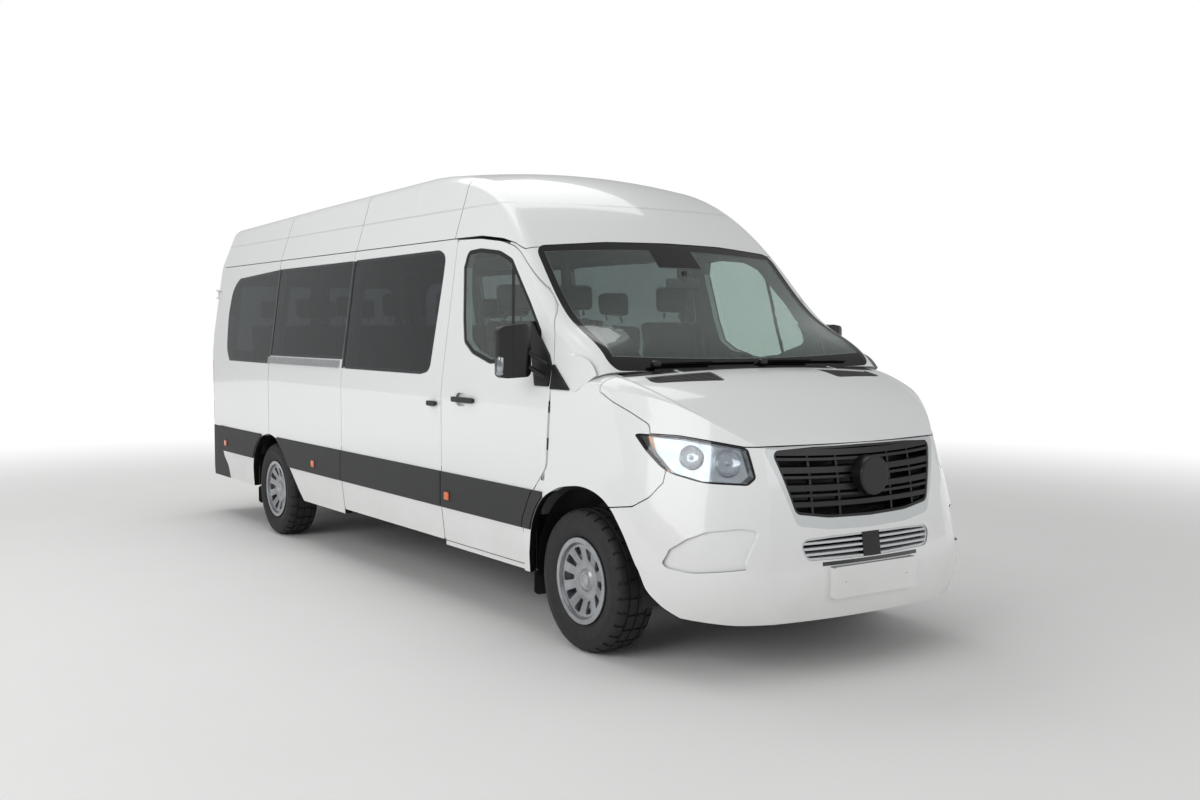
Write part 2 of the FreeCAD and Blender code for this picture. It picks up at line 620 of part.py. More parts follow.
def bonnet():
    """Bonnet with its hinge arms, open where the vents are let in."""
    cuts = [front_prism(grown(lamp, SHUT_GAP), 2700, 3600) for lamp in (LAMP, other_side(LAMP))]
    vent = plan_prism(VENT, 1100, 1600)
    shell = nose_wall(bonnet_region(-HALF_GAP).cut(cuts + [vent, flip(vent)]))
    arms = []
    x, z = BONNET_HINGE_X, BONNET_HINGE_Z
    for y in BONNET_HINGE_Y:
        arm = side_prism([(x, z - 6, 0), (x, z + 6, 0), (x + 55, z - 2, 0), (x + 55, z - 18, 0)], y - 10, y + 10)
        eye = rod(V(x, y - 10, z), V(x, y + 10, z), 8)
        arms.append(fuse([arm, eye]).cut(rod(V(x, y - 20, z), V(x, y + 20, z), PIN_RADIUS + FIT)))
    return fuse([shell] + arms)


def bonnet_vent():
    """Slatted inlet let into the rear of the bonnet."""
    region = plan_prism(grown(VENT, -FIT), 1100, 1600)
    slots = [box(x, x + VENT_SLOT, 300, 850, 1100, 1600) for x in VENT_SLOTS]
    open_part = plan_prism(grown(VENT, -VENT_RIM), 1100, 1600).common(slots[0].fuse(slots[1:]))
    return NOSE_FORMS[LENS].common(region.cut(open_part)).cut(NOSE_INNER)


def cowl():
    """Black panel between the windscreen and the bonnet, with its tray and the bonnet's hinge pins."""
    half = COWL_HALF - FIT
    panel = nose_wall(box(2380, 2700, -half, half, 1300, 1600).cut(BONNET_HOLE)).cut(CABIN_FIT)
    upright = box(2625, 2640, -COWL_TRAY, COWL_TRAY, COWL_TRAY_Z, 1500).common(NOSE_FORMS[LENS])
    tray = box(BULKHEAD_X + 1, 2640, -COWL_TRAY, COWL_TRAY, COWL_TRAY_Z, COWL_TRAY_Z + 12)
    leg = box(BULKHEAD_X + 1, BULKHEAD_X + 19, -COWL_TRAY, COWL_TRAY, BULKHEAD_TOP_Z + FIT, COWL_TRAY_Z + 6)
    shape = fuse([panel, upright, tray, leg])
    shape = shape.cut([box(BONNET_HINGE_X - 12, 2700, y - 13, y + 13, 1320, 1500) for y in BONNET_HINGE_Y])
    x, z = BONNET_HINGE_X, BONNET_HINGE_Z
    return fuse([shape] + [rod(V(x, y - 24, z), V(x, y + 24, z), PIN_RADIUS) for y in BONNET_HINGE_Y])


def corner_plate():
    """Black plate on the foot of the screen pillar, in line with the mirror's sail."""
    plate = side_prism([(2194, 1430, 6), (2362, 1301, 3), (2194, 1301, 3)], *SIDE)
    return plate.common(CABIN_PLUS).cut(CABIN_FIT)


def front_bumper():
    lip = [(2500, 0, 0), (2500, 355, 0), (3100, 300, 0), (3300, 272, 0), (3600, 272, 0), (3600, 0, 0)]
    recess = front_prism(RECESS, 2900, 3600).cut(NOSE_FORMS[RECESS_DEPTH])
    region = side_prism(grown(BUMPER_SIDE, -HALF_GAP), *ACROSS).cut([
        arch(ARCH_FRONT, FRONT_X, 0), front_prism(grown(whole_front(GRILLE_FRAME), FIT), 3200, 3600),
        front_prism(whole_front(INTAKE), 3200, 3600), side_prism(lip, *ACROSS),
        front_prism(grown(LAMP, LAMP_GAP), 2700, 3600), front_prism(grown(other_side(LAMP), LAMP_GAP), 2700, 3600)])
    plate = front_prism(whole_front(PLATE), 3400, LENGTH / 2).cut(NOSE_FORMS[LENS])
    screws = [rod(V(3440, y, PLATE_SCREW_Z), V(3500, y, PLATE_SCREW_Z), PLATE_SCREW_R) for y in (-PLATE_SCREW_Y, PLATE_SCREW_Y)]
    return fuse([nose_wall(region).cut([recess, flip(recess)]), plate]).cut(screws)


def grille_frame():
    ring = front_prism(whole_front(GRILLE_FRAME), 3200, 3600).cut(front_prism(grown(whole_front(GRILLE), FIT), 3200, 3600))
    return nose_wall(ring)


def grille():
    """Louvred grille: a rim, pairs of slanted bars on two uprights, and a bare round boss in the middle."""
    inside = front_prism(whole_front(GRILLE), 3200, 3600)
    hollow = front_prism(grown(whole_front(GRILLE), -GRILLE_RIM), 3200, 3600)
    web = []
    for z, height in GRILLE_BARS:
        web.append(side_prism([(3200, z + 60, 0), (3500, z, 0), (3500, z - height, 0), (3200, z + 60 - height, 0)], -560, 560))
    web += [box(3200, 3600, y - 6, y + 6, 700, 1080).common(NOSE_FORMS[RECESS_DEPTH]) for y in GRILLE_UPRIGHTS]
    web = inside.common(web[0].fuse(web[1:] + [inside.cut(hollow)]))
    face = NOSE_FORMS[LENS].common(web).cut(NOSE_INNER)
    boss = rod(V(3390, 0, BADGE_Z), V(BADGE_X, 0, BADGE_Z), BADGE_RADIUS)
    boss = boss.makeFillet(10, [e for e in boss.Edges if e.BoundBox.XMin > BADGE_X - 1 and e.BoundBox.XLength < 1])
    guide = box(RADIATOR_FACE_X + FIT, RADIATOR_FACE_X + 4, -500, 500, 736, 1058)
    return Part.makeCompound([fuse([face, boss]), guide])


def intake():
    """Lower intake with pale slats each side of a middle post."""
    inside = front_prism(grown(whole_front(INTAKE), -FIT), 3200, 3600)
    web = [box(3200, 3600, -450, 450, z - 5, z + 5) for z in INTAKE_SLATS]
    web.append(box(3200, 3600, -INTAKE_POST, INTAKE_POST, 500, 700))
    web = inside.common(web[0].fuse(web[1:] + [inside.cut(front_prism(grown(whole_front(INTAKE), -11), 3200, 3600))]))
    return NOSE_FORMS[LENS].common(web).cut(NOSE_INNER)


def headlamp():
    """The housing, open to the front, and the lens over it."""
    region = front_prism(LAMP, 2700, 3600)
    lens = NOSE_OUTER.common(region).cut(NOSE_FORMS[LENS])
    body = NOSE_FORMS[LENS + FIT].common(front_prism(grown(LAMP, LAMP_GAP - FIT), 2760, 3600)).cut(NOSE_FORMS[LAMP_DEPTH])
    hollow = front_prism(grown(LAMP, -8), 2600, 3600).cut(NOSE_INNER)
    return body.cut(hollow), lens


def rear_hinge_x():
    return REAR_FACE_X - REAR_HINGE_OUT


def rear_door():
    """Left rear door with its strap hinges, and its glass."""
    cut, sheet = window(REAR_DOOR_GLASS, front_prism, *BEHIND)
    shell = wall(front_prism(REAR_DOOR, *BEHIND)).cut(cut)
    pieces = [shell]
    x, y = rear_hinge_x(), REAR_DOOR_HALF + REAR_HINGE_OUT
    for z in REAR_HINGE_Z:
        eye = rod(V(x, y, z - 22), V(x, y, z + 22), 11)
        strap = box(x - 5, x + 5, y - 105, y, z - 20, z + 20)
        foot = box(x - 5, x + 120, y - 105, y - 72, z - 20, z + 20).cut(INSIDE)
        hole = rod(V(x, y, z - 30), V(x, y, z + 30), PIN_RADIUS + FIT)
        pieces.append(fuse([eye, strap, foot]).cut(hole))
    return fuse(pieces), sheet


def rear_hinge_brackets():
    """Lugs and pins for the rear doors on the left corner post."""
    x, y = rear_hinge_x(), REAR_DOOR_HALF + REAR_HINGE_OUT
    pieces = []
    for z in REAR_HINGE_Z:
        pin = rod(V(x, y, z - 38), V(x, y, z + 38), PIN_RADIUS)
        lugs = [box(x - 9, x + 120, y - 6, y + 24, c - 7, c + 7).cut(CABIN_FIT) for c in (z - 32, z + 32)]
        pieces.append(fuse([pin] + lugs))
    return pieces


def rear_bumper():
    corner = wall(side_prism(grown(REAR_BUMPER_SIDE, -HALF_GAP), *SIDE)).common(box(-3600, -2900, REAR_DOOR_HALF + SHUT_GAP, 1250, 300, 800))
    step = box(-LENGTH / 2, REAR_FACE_X + WALL - FIT, -940, 940, 385, 462)
    step = step.makeFillet(18, [e for e in step.Edges if e.BoundBox.YLength > 100])
    return fuse([step, corner, flip(corner)])


def tail_lamp():
    return wall(front_prism(TAIL_LAMP, -3600, TAIL_LAMP_FRONT_X))


def trim_band(x0, x1):
    """Raised band along the flat of the side, bevelled at its edges."""
    y = HALF_WIDTH + FIT
    band = box(x0, x1, y, y + TRIM_THICK, TRIM_LOW_Z, TRIM_TOP_Z)
    edges = [e for e in band.Edges if e.BoundBox.YMin > y + 1 and e.BoundBox.YLength < 1]
    return band.makeChamfer(5, edges)


def body_frame():
    """Pillars, roof bows and rails inside the outer panels."""
    layer = CABIN[WALL + FIT]
    pieces = [box(x - w, x + w, -1100, 1100, SILL_Z, 2700) for x, w in HOOPS]
    pieces += [box(x0, x1, -1100, 1100, z0, z1) for x0, x1, z0, z1 in RAILS]
    web = pieces[0].fuse(pieces[1:])
    frame = layer.common(web).cut(CABIN[WALL + FRAME_DEPTH])
    frame = frame.cut(box(REAR_X - 446, REAR_X + 446, -1100, 1100, 300, WELL_TOP_Z + 1))
    frame = frame.cut(box(-3600, 3000, -700, 700, 300, 600))
    return frame.cut(front_prism(grown(whole_front(REAR_OPENING), SHUT_GAP), *BEHIND))


def cab_frame():
    """Screen pillars on a cross beam with the door hinge pillars, and the sills under the doors."""
    front = B_SEAM_X + HALF_GAP
    region = side_prism(PILLAR_STRIP, *SIDE).cut([side_prism(grown(ROOF_SEAM, HALF_GAP), *SIDE), door_region(HALF_GAP)])
    strip = wall(region).cut(SCREEN_CUT)
    head = box(2215, BULKHEAD_X - 2, 830, 1100, FENDER_TOP_Z + FIT, 1345).common(REBATE)
    beam = box(BEAM_X, BULKHEAD_X - 2, -1100, 1100, 1190, FENDER_TOP_Z + FIT).common(NOSE_FORMS[NOSE_WALL + FIT])
    pillar = box(2095, BEAM_X + 5, HINGE_PILLAR_Y - 78, HINGE_PILLAR_Y, 875, 1290)
    sill = box(RAILS[0][1] + FIT, FLOOR_END_X, 880, FLOOR_HALF, 350, 440)
    sill_shelf = box(front, 1925, FLOOR_HALF - 5, HALF_WIDTH - 28, SILL_Z + 2, SILL_Z + 26)
    step = box(front, 1925, FLOOR_HALF - 5, FLOOR_HALF + 6, SILL_Z + 2, 440)
    pieces = [beam]
    for piece in [strip, head, pillar, sill, sill_shelf, step] + hinge_brackets_front():
        pieces += [piece, flip(piece)]
    return fuse(pieces)


def seat(x, y, floor_z, width, height):
    """One seat facing forward: cushion, leaning back and headrest, as soft solids, and the headrest posts."""
    half = width / 2
    top = floor_z + SEAT_HEIGHT
    cushion = side_prism([(x - 40, top - CUSHION_THICK, 30), (x - 40, top, 20), (x + 110, top, 0), (x + 460, top + 12, 50),
                          (x + 480, top - CUSHION_THICK, 40)], y - half, y + half)
    back = side_prism([(x - 15, top + FIT, 0), (x - 90, top + height, 30), (x + 15, top + height, 40),
                       (x + 90, top + FIT, 0)], y - half, y + half)
    head_x, head_z = x - 40, top + height + HEADREST_RISE
    head = side_prism([(head_x - 48, head_z, 25), (head_x - 58, head_z + 170, 25), (head_x + 22, head_z + 170, 30),
                       (head_x + 32, head_z, 25)], y - HEADREST_HALF, y + HEADREST_HALF)
    posts = [rod(V(head_x - 8, y + side, top + height + FIT), V(head_x - 8, y + side, head_z - FIT), 7) for side in (-60, 60)]
    return [cushion, back, head], posts


def seat_base(x, y, floor_z, width):
    half = width / 2 - 40
    top = floor_z + SEAT_HEIGHT - CUSHION_THICK - FIT
    tray = box(x + 20, x + 470, y - half, y + half, top - 30, top)
    legs = [box(x + 60, x + 430, y + side * (half - 30) - 20, y + side * (half - 30) + 20, floor_z, top - 20) for side in (-1, 1)]
    return fuse([tray] + legs)


def front_seats():
    floor = FLOOR_Z + FIT
    soft, hard = [], []
    seat_z = floor + FRONT_SEAT_LIFT
    for y, width, base_from, base_to in FRONT_SEATS:
        pieces, posts = seat(FRONT_SEAT_X, y, seat_z, width, 560)
        soft += pieces
        hard += posts
        hard.append(box(FRONT_SEAT_X + 20, FRONT_SEAT_X + 450, base_from, base_to, floor, seat_z + SEAT_HEIGHT - CUSHION_THICK - FIT))
    return soft, hard


def rear_seats():
    floor = FLOOR_Z + FIT
    soft, hard = [], []
    wells = both(box(REAR_X - 440 - FIT, REAR_X + 440 + FIT, 690 - FIT, 1000, 500, WELL_TOP_Z + FIT))
    for x in REAR_SEAT_ROWS:
        for y in REAR_SEAT_Y:
            pieces, posts = seat(x, y, floor, SEAT_WIDTH, 600)
            soft += pieces
            hard += posts
            hard.append(seat_base(x, y, floor, SEAT_WIDTH).cut(wells))
    return soft, hard


def dashboard():
    half = DASH_HALF
    top = side_prism([(1880, 1130, 40), (1900, 1235, 60), (1990, 1290, 60), (BULKHEAD_X - 3, 1318, 8), (BULKHEAD_X - 3, FENDER_TOP_Z + 2, 0), (BEAM_X - 3, FENDER_TOP_Z + 2, 0),
                       (BEAM_X - 3, 1182, 0), (2080, 1090, 60), (1960, 1020, 60)], -half, half)
    console = side_prism([(1875, FLOOR_Z + FIT, 0), (1885, 1160, 30), (1950, 1160, 0), (1950, FLOOR_Z + FIT, 0)], -190, 130)
    cluster = side_prism([(1890, 1240, 20), (1905, 1330, 40), (2060, 1330, 60), (2090, 1280, 0), (2000, 1240, 0)], 240, 660)
    sleeve = placed_on_column(Part.makeCylinder(38 + FIT, 300, V(0, 0, -165)))
    return fuse([top, console, cluster]).cut(sleeve)


def steering_wheel():
    """Rim with four spokes on a hub, turning on a column."""
    ring = Part.makeTorus(WHEEL_RIM_R, 15, V(0, 0, 0), V(0, 0, 1))
    hub = Part.makeCylinder(62, 40, V(0, 0, -42))
    spokes = [rod(V(0, 0, -20), V(WHEEL_RIM_R * math.cos(a), WHEEL_RIM_R * math.sin(a), 0), 13)
              for a in (math.radians(d) for d in (20, 160, 215, 325))]
    hole = Part.makeCylinder(12 + SPIN_FIT, 25, V(0, 0, -50))
    shape = fuse([ring, hub] + spokes).cut(hole)
    return placed_on_column(shape)


def placed_on_column(shape):
    shape.rotate(V(0, 0, 0), V(0, 1, 0), COLUMN_TILT - 90)
    shape.rotate(V(0, 0, 0), V(0, 0, 1), 0)
    shape.translate(V(COLUMN_X, COLUMN_Y, COLUMN_Z))
    return shape


def steering_column():
    post = Part.makeCylinder(12, 140 - FIT, V(0, 0, -165))
    sleeve = Part.makeCylinder(38, 115, V(0, 0, -165))
    return placed_on_column(fuse([post, sleeve]))


def bulkhead():
    """Front wall of the cab, stepped over the wheels, with the footwell floor."""
    x0, x1 = FLOOR_END_X + FIT, BULKHEAD_X
    points = [(x0, 590, 0), (x0, 838, 30), (x1, 868, 30), (x1, BULKHEAD_TOP_Z, 0), (x1 + 20, BULKHEAD_TOP_Z, 0),
              (x1 + 20, 850, 0), (x0 + 20, 820, 0), (x0 + 20, 590, 0)]
    return side_prism(points, -FLOOR_HALF, FLOOR_HALF)


def floor_pan():
    """Flat floor with a closed well over each rear wheel."""
    low = FLOOR_Z - FLOOR_THICK
    plate = box(-3312, FLOOR_END_X, -FLOOR_HALF, FLOOR_HALF, low, FLOOR_Z)
    tongue = box(-3378, -3300, -REAR_DOOR_HALF, REAR_DOOR_HALF, low, FLOOR_Z)
    well = box(REAR_X - 440, REAR_X + 440, 690, HALF_WIDTH - WALL - FIT, FLOOR_Z - FLOOR_THICK, WELL_TOP_Z)
    hollow = box(REAR_X - 425, REAR_X + 425, 705, HALF_WIDTH, FLOOR_Z - FLOOR_THICK - 5, WELL_TOP_Z - 15)
    return fuse([plate, tongue, well, flip(well)]).cut(hollow).cut(flip(hollow))


def chassis():
    top = FLOOR_Z - FLOOR_THICK - FIT
    rail = box(-3325, 3160, RAIL_IN_Y, RAIL_OUT_Y, RAIL_LOW_Z, top)
    rail = rail.cut(box(-3400, 3200, RAIL_IN_Y + 6, RAIL_OUT_Y - 6, RAIL_LOW_Z + 6, top - 6))
    for x in (TOW_X - TOW_SPREAD / 2, TOW_X + TOW_SPREAD / 2):
        rail = rail.cut(rod(V(x, (RAIL_IN_Y + RAIL_OUT_Y) / 2, RAIL_LOW_Z - 5), V(x, (RAIL_IN_Y + RAIL_OUT_Y) / 2, RAIL_LOW_Z + 20), TOW_HOLE_R))
    pieces = [rail, flip(rail)]
    pieces += [box(x - 40, x + 40, -RAIL_IN_Y - 5, RAIL_IN_Y + 5, 500, 560) for x in CROSS_MEMBERS]
    for x in OUTRIGGERS:
        arm = box(x - 30, x + 30, RAIL_OUT_Y - 4, FLOOR_HALF, 520, top)
        pieces += [arm, flip(arm)]
    pieces.append(box(3155, 3600, -620, 620, RAIL_LOW_Z - 10, top).common(NOSE_FORMS[NOSE_WALL + FIT]))
    return fuse(pieces)


def engine():
    block = box(2470, 3030, -290, 290, 420, 1110)
    gearbox = box(1700, 2470, -140, 140, 400, 650 - 70)
    feet = box(2700, 2780, -RAIL_IN_Y + FIT, RAIL_IN_Y - FIT, 500, 560)
    return fuse([block, gearbox, feet])


def radiator():
    return box(RADIATOR_FACE_X - 50, RADIATOR_FACE_X, -330, 330, FLOOR_Z - FLOOR_THICK, 1000)


def rear_axle():
    """Axle tube with the final drive, spindles and a leaf spring under each frame rail."""
    hub = TYRE_RADIUS
    tube = rod(V(REAR_X, -700, hub), V(REAR_X, 700, hub), 50)
    spindles = rod(V(REAR_X, -SPINDLE_END, hub), V(REAR_X, SPINDLE_END, hub), SPINDLE_RADIUS)
    drive = Part.makeSphere(130, V(REAR_X, 0, hub))
    middle = (RAIL_IN_Y + RAIL_OUT_Y) / 2
    low, high, reach = 405, RAIL_LOW_Z - FIT, 640
    path = [V(REAR_X - reach, 0, high), V(REAR_X, 0, low), V(REAR_X + reach, 0, high)]
    lower = [V(p.x, 0, p.z - 26) for p in path]
    edges = [arc(*path), line(path[2], lower[2]), arc(lower[2], lower[1], lower[0]), line(lower[0], path[0])]
    leaf = Part.Face(Part.Wire(edges)).extrude(V(0, 60, 0))
    leaf.translate(V(0, middle - 30, 0))
    return fuse([tube, spindles, drive, leaf, flip(leaf)])


def front_subframe():
    """Cross beam, lower and upper arms and the upright pins that the front knuckles turn on."""
    x, low, high = FRONT_X, TYRE_RADIUS - KINGPIN_HALF - 5, TYRE_RADIUS + KINGPIN_HALF + 5
    pieces = [box(x - 70, x + 70, -RAIL_OUT_Y - 30, RAIL_OUT_Y + 30, low - 26, low + 60)]
    tower = box(x - 60, x + 60, RAIL_OUT_Y + FIT, RAIL_OUT_Y + 30, low, RAIL_LOW_Z + 100)
    arm = box(x - 32, x + 32, RAIL_OUT_Y, KINGPIN_Y + 26, low - 26, low)
    upper = box(x - 28, x + 28, RAIL_OUT_Y + 20, KINGPIN_Y + 26, high, high + 24)
    pin = rod(V(x, KINGPIN_Y, low - 20), V(x, KINGPIN_Y, high + 20), KINGPIN_RADIUS)
    for piece in (tower, arm, upper, pin):
        pieces += [piece, flip(piece)]
    return fuse(pieces)


def knuckle():
    """Left steering knuckle: boss round the pin, spindle and steering arm."""
    x, hub = FRONT_X, TYRE_RADIUS
    boss = rod(V(x, KINGPIN_Y, hub - KINGPIN_HALF + 4), V(x, KINGPIN_Y, hub + KINGPIN_HALF - 4), 30)
    spindle = rod(V(x, KINGPIN_Y, hub), V(x, SPINDLE_END, hub), SPINDLE_RADIUS)
    flange = rod(V(x, KINGPIN_Y, hub), V(x, KINGPIN_Y + 44, hub), 62)
    arm = fuse([box(x - 22, x + 22, KINGPIN_Y - 62, KINGPIN_Y, hub - 70, hub - 40), box(x - 150, x, KINGPIN_Y - 72, KINGPIN_Y - 40, hub - 70, hub - 40)])
    bore = rod(V(x, KINGPIN_Y, hub - 200), V(x, KINGPIN_Y, hub + 200), KINGPIN_RADIUS + SPIN_FIT)
    return fuse([boss, spindle, flange, arm]).cut(bore)


def ring_solid(points):
    """A body of revolution round the wheel's axle from (radius, offset) corners with radii."""
    face = outline(points, lambda p: V(p.x, p.y, 0))
    return face.revolve(V(0, 0, 0), V(0, 1, 0), 360)


def tyre():
    r, w, t = TYRE_RADIUS, TYRE_WIDTH / 2, TYRE_WALL
    seat_r = RIM_RADIUS + FIT
    half = RIM_WIDTH / 2 - 8
    points = [(seat_r, -half, 0), (222, -half - 10, 20), (280, -w, 60), (335, -w + 10, 30), (r, -w + 38, 25), (r, w - 38, 25),
              (335, w - 10, 30), (280, w, 60), (222, half + 10, 20), (seat_r, half, 0), (seat_r, half - t, 0),
              (270, w - t, 50), (r - t, w - 40, 30), (r - t, 40 - w, 30), (270, t - w, 50), (seat_r, t - half, 0)]
    return ring_solid(points)


def rim():
    """Steel rim with a hub plate, and the silver hubcap with its windows."""
    r, half, t = RIM_RADIUS, RIM_WIDTH / 2, RIM_THICK
    barrel = ring_solid([(r, -half + 6, 0), (r + 12, -half - 2, 4), (r + 12, -half - 10, 0), (r - t, -half - 10, 0), (r - t, half + 10, 0),
                         (r + 12, half + 10, 0), (r + 12, half + 2, 4), (r, half - 6, 0)])
    bore = SPINDLE_RADIUS + SPIN_FIT
    plate = ring_solid([(bore, 12, 0), (bore, 52, 0), (80, 52, 8), (92, 34, 6), (150, 44, 30), (r - t + 2, 30, 0), (r - t + 2, 20, 0),
                        (150, 30, 30), (80, 20, 0), (80, 12, 0)])
    dish = ring_solid([(0, 62, 0), (0, 74, 0), (46, 74, 6), (60, 66, 6), (90, 66, 20), (175, 92, 30), (CAP_RADIUS, 84, 4), (CAP_RADIUS, 76, 0),
                       (r - t + 1, 76, 0), (170, 80, 30), (90, 56, 20), (60, 56, 6), (40, 62, 0)])
    windows = []
    for i in range(CAP_WINDOWS):
        slot = outline([(104, -11, 5), (104, 11, 5), (168, 27, 10), (168, -27, 10)], lambda p: V(p.x, 0, p.y)).extrude(V(0, 200, 0))
        slot.rotate(V(0, 0, 0), V(0, 1, 0), i * 360 / CAP_WINDOWS)
        windows.append(slot)
    return fuse([barrel, plate, dish.cut(Part.makeCompound(windows))])


def on_axle(shape, x, side):
    """The wheel piece at an axle end, outside face outwards."""
    piece = shape.copy()
    piece.translate(V(x, HALF_TRACK, TYRE_RADIUS))
    return piece if side > 0 else flip(piece)


def underneath():
    tank = box(-60, 820, RAIL_OUT_Y + 12, 870, 330, FLOOR_Z - FLOOR_THICK - FIT)
    tank = tank.makeFillet(35, [e for e in tank.Edges if e.BoundBox.ZMax < 331])
    pipe = rod(V(1900, -250, 455), V(-3300, -250, 455), 30)
    silencer = rod(V(-450, -250, 455), V(-1130, -250, 455), 80)
    hanger = box(-820, -780, -RAIL_IN_Y + FIT, -320, 485, 505)
    shaft = rod(V(1697, 0, 450), V(REAR_X + 130.3, 0, 385), 32)
    return tank, fuse([pipe, silencer, hanger]), shaft


def mud_flap(x, z0):
    """Rubber flap behind a wheel, hung under the floor and wider below the sill."""
    top = FLOOR_Z - FLOOR_THICK - FIT
    points = [(760, z0, 0), (945, z0, 30), (945, 325, 20), (876, 342, 0), (876, top, 0), (760, top, 0)]
    return front_prism(points, x, x + 8)


def slide_rail():
    rail = box(-1956, -546, -1100, -900, RAIL_TOP_Z - 50, RAIL_TOP_Z)
    return rail.common(CABIN_PLUS).cut(CABIN_FIT)


def save_all():
    shells = {"roof": roof()}
    right, right_panes = side_wall(True)
    left, left_panes = side_wall(False)
    brackets = rear_hinge_brackets()
    shells["side_wall_left"] = fuse([left] + brackets)
    shells["side_wall_right"] = fuse([flip(right)] + [flip(b) for b in brackets])
    slide, slide_pane = sliding_door()
    shells["sliding_door"] = flip(slide)
    shells["side_glass"] = Part.makeCompound(left_panes + [flip(p) for p in right_panes + [slide_pane]])
    door, door_pane = front_door()
    wing = fender()
    head, mirror_glass = mirror()
    door_band = trim_band(B_SEAM_X + 6, 2080).common(side_prism(grown(DOOR, -HALF_GAP - 1), *SIDE))
    wing_band = trim_band(1910, 2120).cut([side_prism(grown(DOOR, HALF_GAP + 1), *SIDE), arch(ARCH_FRONT, FRONT_X, 2)])
    pull = handle(1166, 1410, 1188, 1218)
    backdoor, back_pane = rear_door()
    upright = knuckle()
    for side, turn in (("left", lambda s: s), ("right", flip)):
        shells["front_door_" + side] = turn(door)
        shells["front_door_glass_" + side] = turn(door_pane)
        shells["front_door_trim_" + side] = turn(Part.makeCompound([door_band, pull]))
        shells["mirror_" + side] = turn(head)
        shells["mirror_glass_" + side] = turn(mirror_glass)
        shells["fender_" + side] = turn(wing)
        shells["rear_door_" + side] = turn(backdoor)
        shells["rear_door_glass_" + side] = turn(back_pane)
        shells["knuckle_" + side] = turn(upright)
    shells["bonnet"] = bonnet()
    shells["bonnet_vents"] = both(bonnet_vent())
    shells["cowl"] = Part.makeCompound([cowl(), both(corner_plate())])
    shells["windscreen"] = SCREEN_PANE
    shells["front_bumper"] = front_bumper()
    shells["grille_frame"] = Part.makeCompound([grille_frame(), intake()])
    shells["grille"] = grille()
    bucket, lens = headlamp()
    shells["headlamps"] = both(bucket)
    shells["headlamp_lenses"] = both(lens)
    shells["tail_lamps"] = both(tail_lamp())
    shells["rear_bumper"] = rear_bumper()
    behind_wheel = trim_band(-3190, REAR_X - 200).cut(arch(ARCH_REAR, REAR_X, 2))
    wheel_cut = arch(ARCH_REAR, REAR_X, 2)
    left_trim = [wing_band, behind_wheel, trim_band(REAR_X + 150, B_SEAM_X - 6).cut(wheel_cut)]
    right_trim = [wing_band, behind_wheel, trim_band(REAR_X + 150, SLIDE_SEAM_X - 4).cut(wheel_cut),
                  trim_band(SLIDE_SEAM_X + 4, B_SEAM_X - 6), handle(850, 950, 1150, 1180)]
    shells["side_trim"] = Part.makeCompound(left_trim + [flip(t) for t in right_trim])
    shells["slide_rail"] = slide_rail()
    shells["body_frame"] = Part.makeCompound([body_frame(), bulkhead()])
    shells["cab_frame"] = cab_frame()
    shells["floor_pan"] = floor_pan()
    shells["dashboard"] = Part.makeCompound([dashboard(), steering_column()])
    shells["steering_wheel"] = steering_wheel()
    soft, cab_bases = front_seats()
    shells["front_seats"] = Part.makeCompound(soft)
    soft, hard = rear_seats()
    shells["rear_seats"] = Part.makeCompound(soft)
    shells["seat_frames"] = Part.makeCompound(cab_bases + hard)
    shells["chassis"] = chassis()
    shells["engine"] = Part.makeCompound([engine(), radiator()])
    shells["front_subframe"] = front_subframe()
    shells["fuel_tank"], shells["exhaust"], shaft = underneath()
    shells["rear_axle"] = Part.makeCompound([rear_axle(), shaft])
    shells["mud_flaps"] = both(Part.makeCompound([mud_flap(FLOOR_END_X - 8.3, 203), mud_flap(REAR_X - 440 - 8 - FIT, 191)]))
    casing, disc = tyre(), rim()
    for axle, x in (("front", FRONT_X), ("rear", REAR_X)):
        for side, sign in (("left", 1), ("right", -1)):
            shells["tyre_%s_%s" % (axle, side)] = on_axle(casing, x, sign)
            shells["rim_%s_%s" % (axle, side)] = on_axle(disc, x, sign)
    for name, shape in shells.items():
        save(name, shape)


if __name__ == "__main__":
    save_all()
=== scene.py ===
# %% [markdown]
# # A minibus, dressed for its picture
# The shapes come from the CAD frame: panels, glass, grille, seats and wheels each arrive as an object of
# their own, in metres, with +X forward, +Y the vehicle's left side and +Z up. This lesson gives every one
# of them a finish and adds what a body shop or an upholsterer would add: seals, wipers, tread, cloth.

# %% Load the frame
import bpy
import math
from mathutils import Matrix, Vector


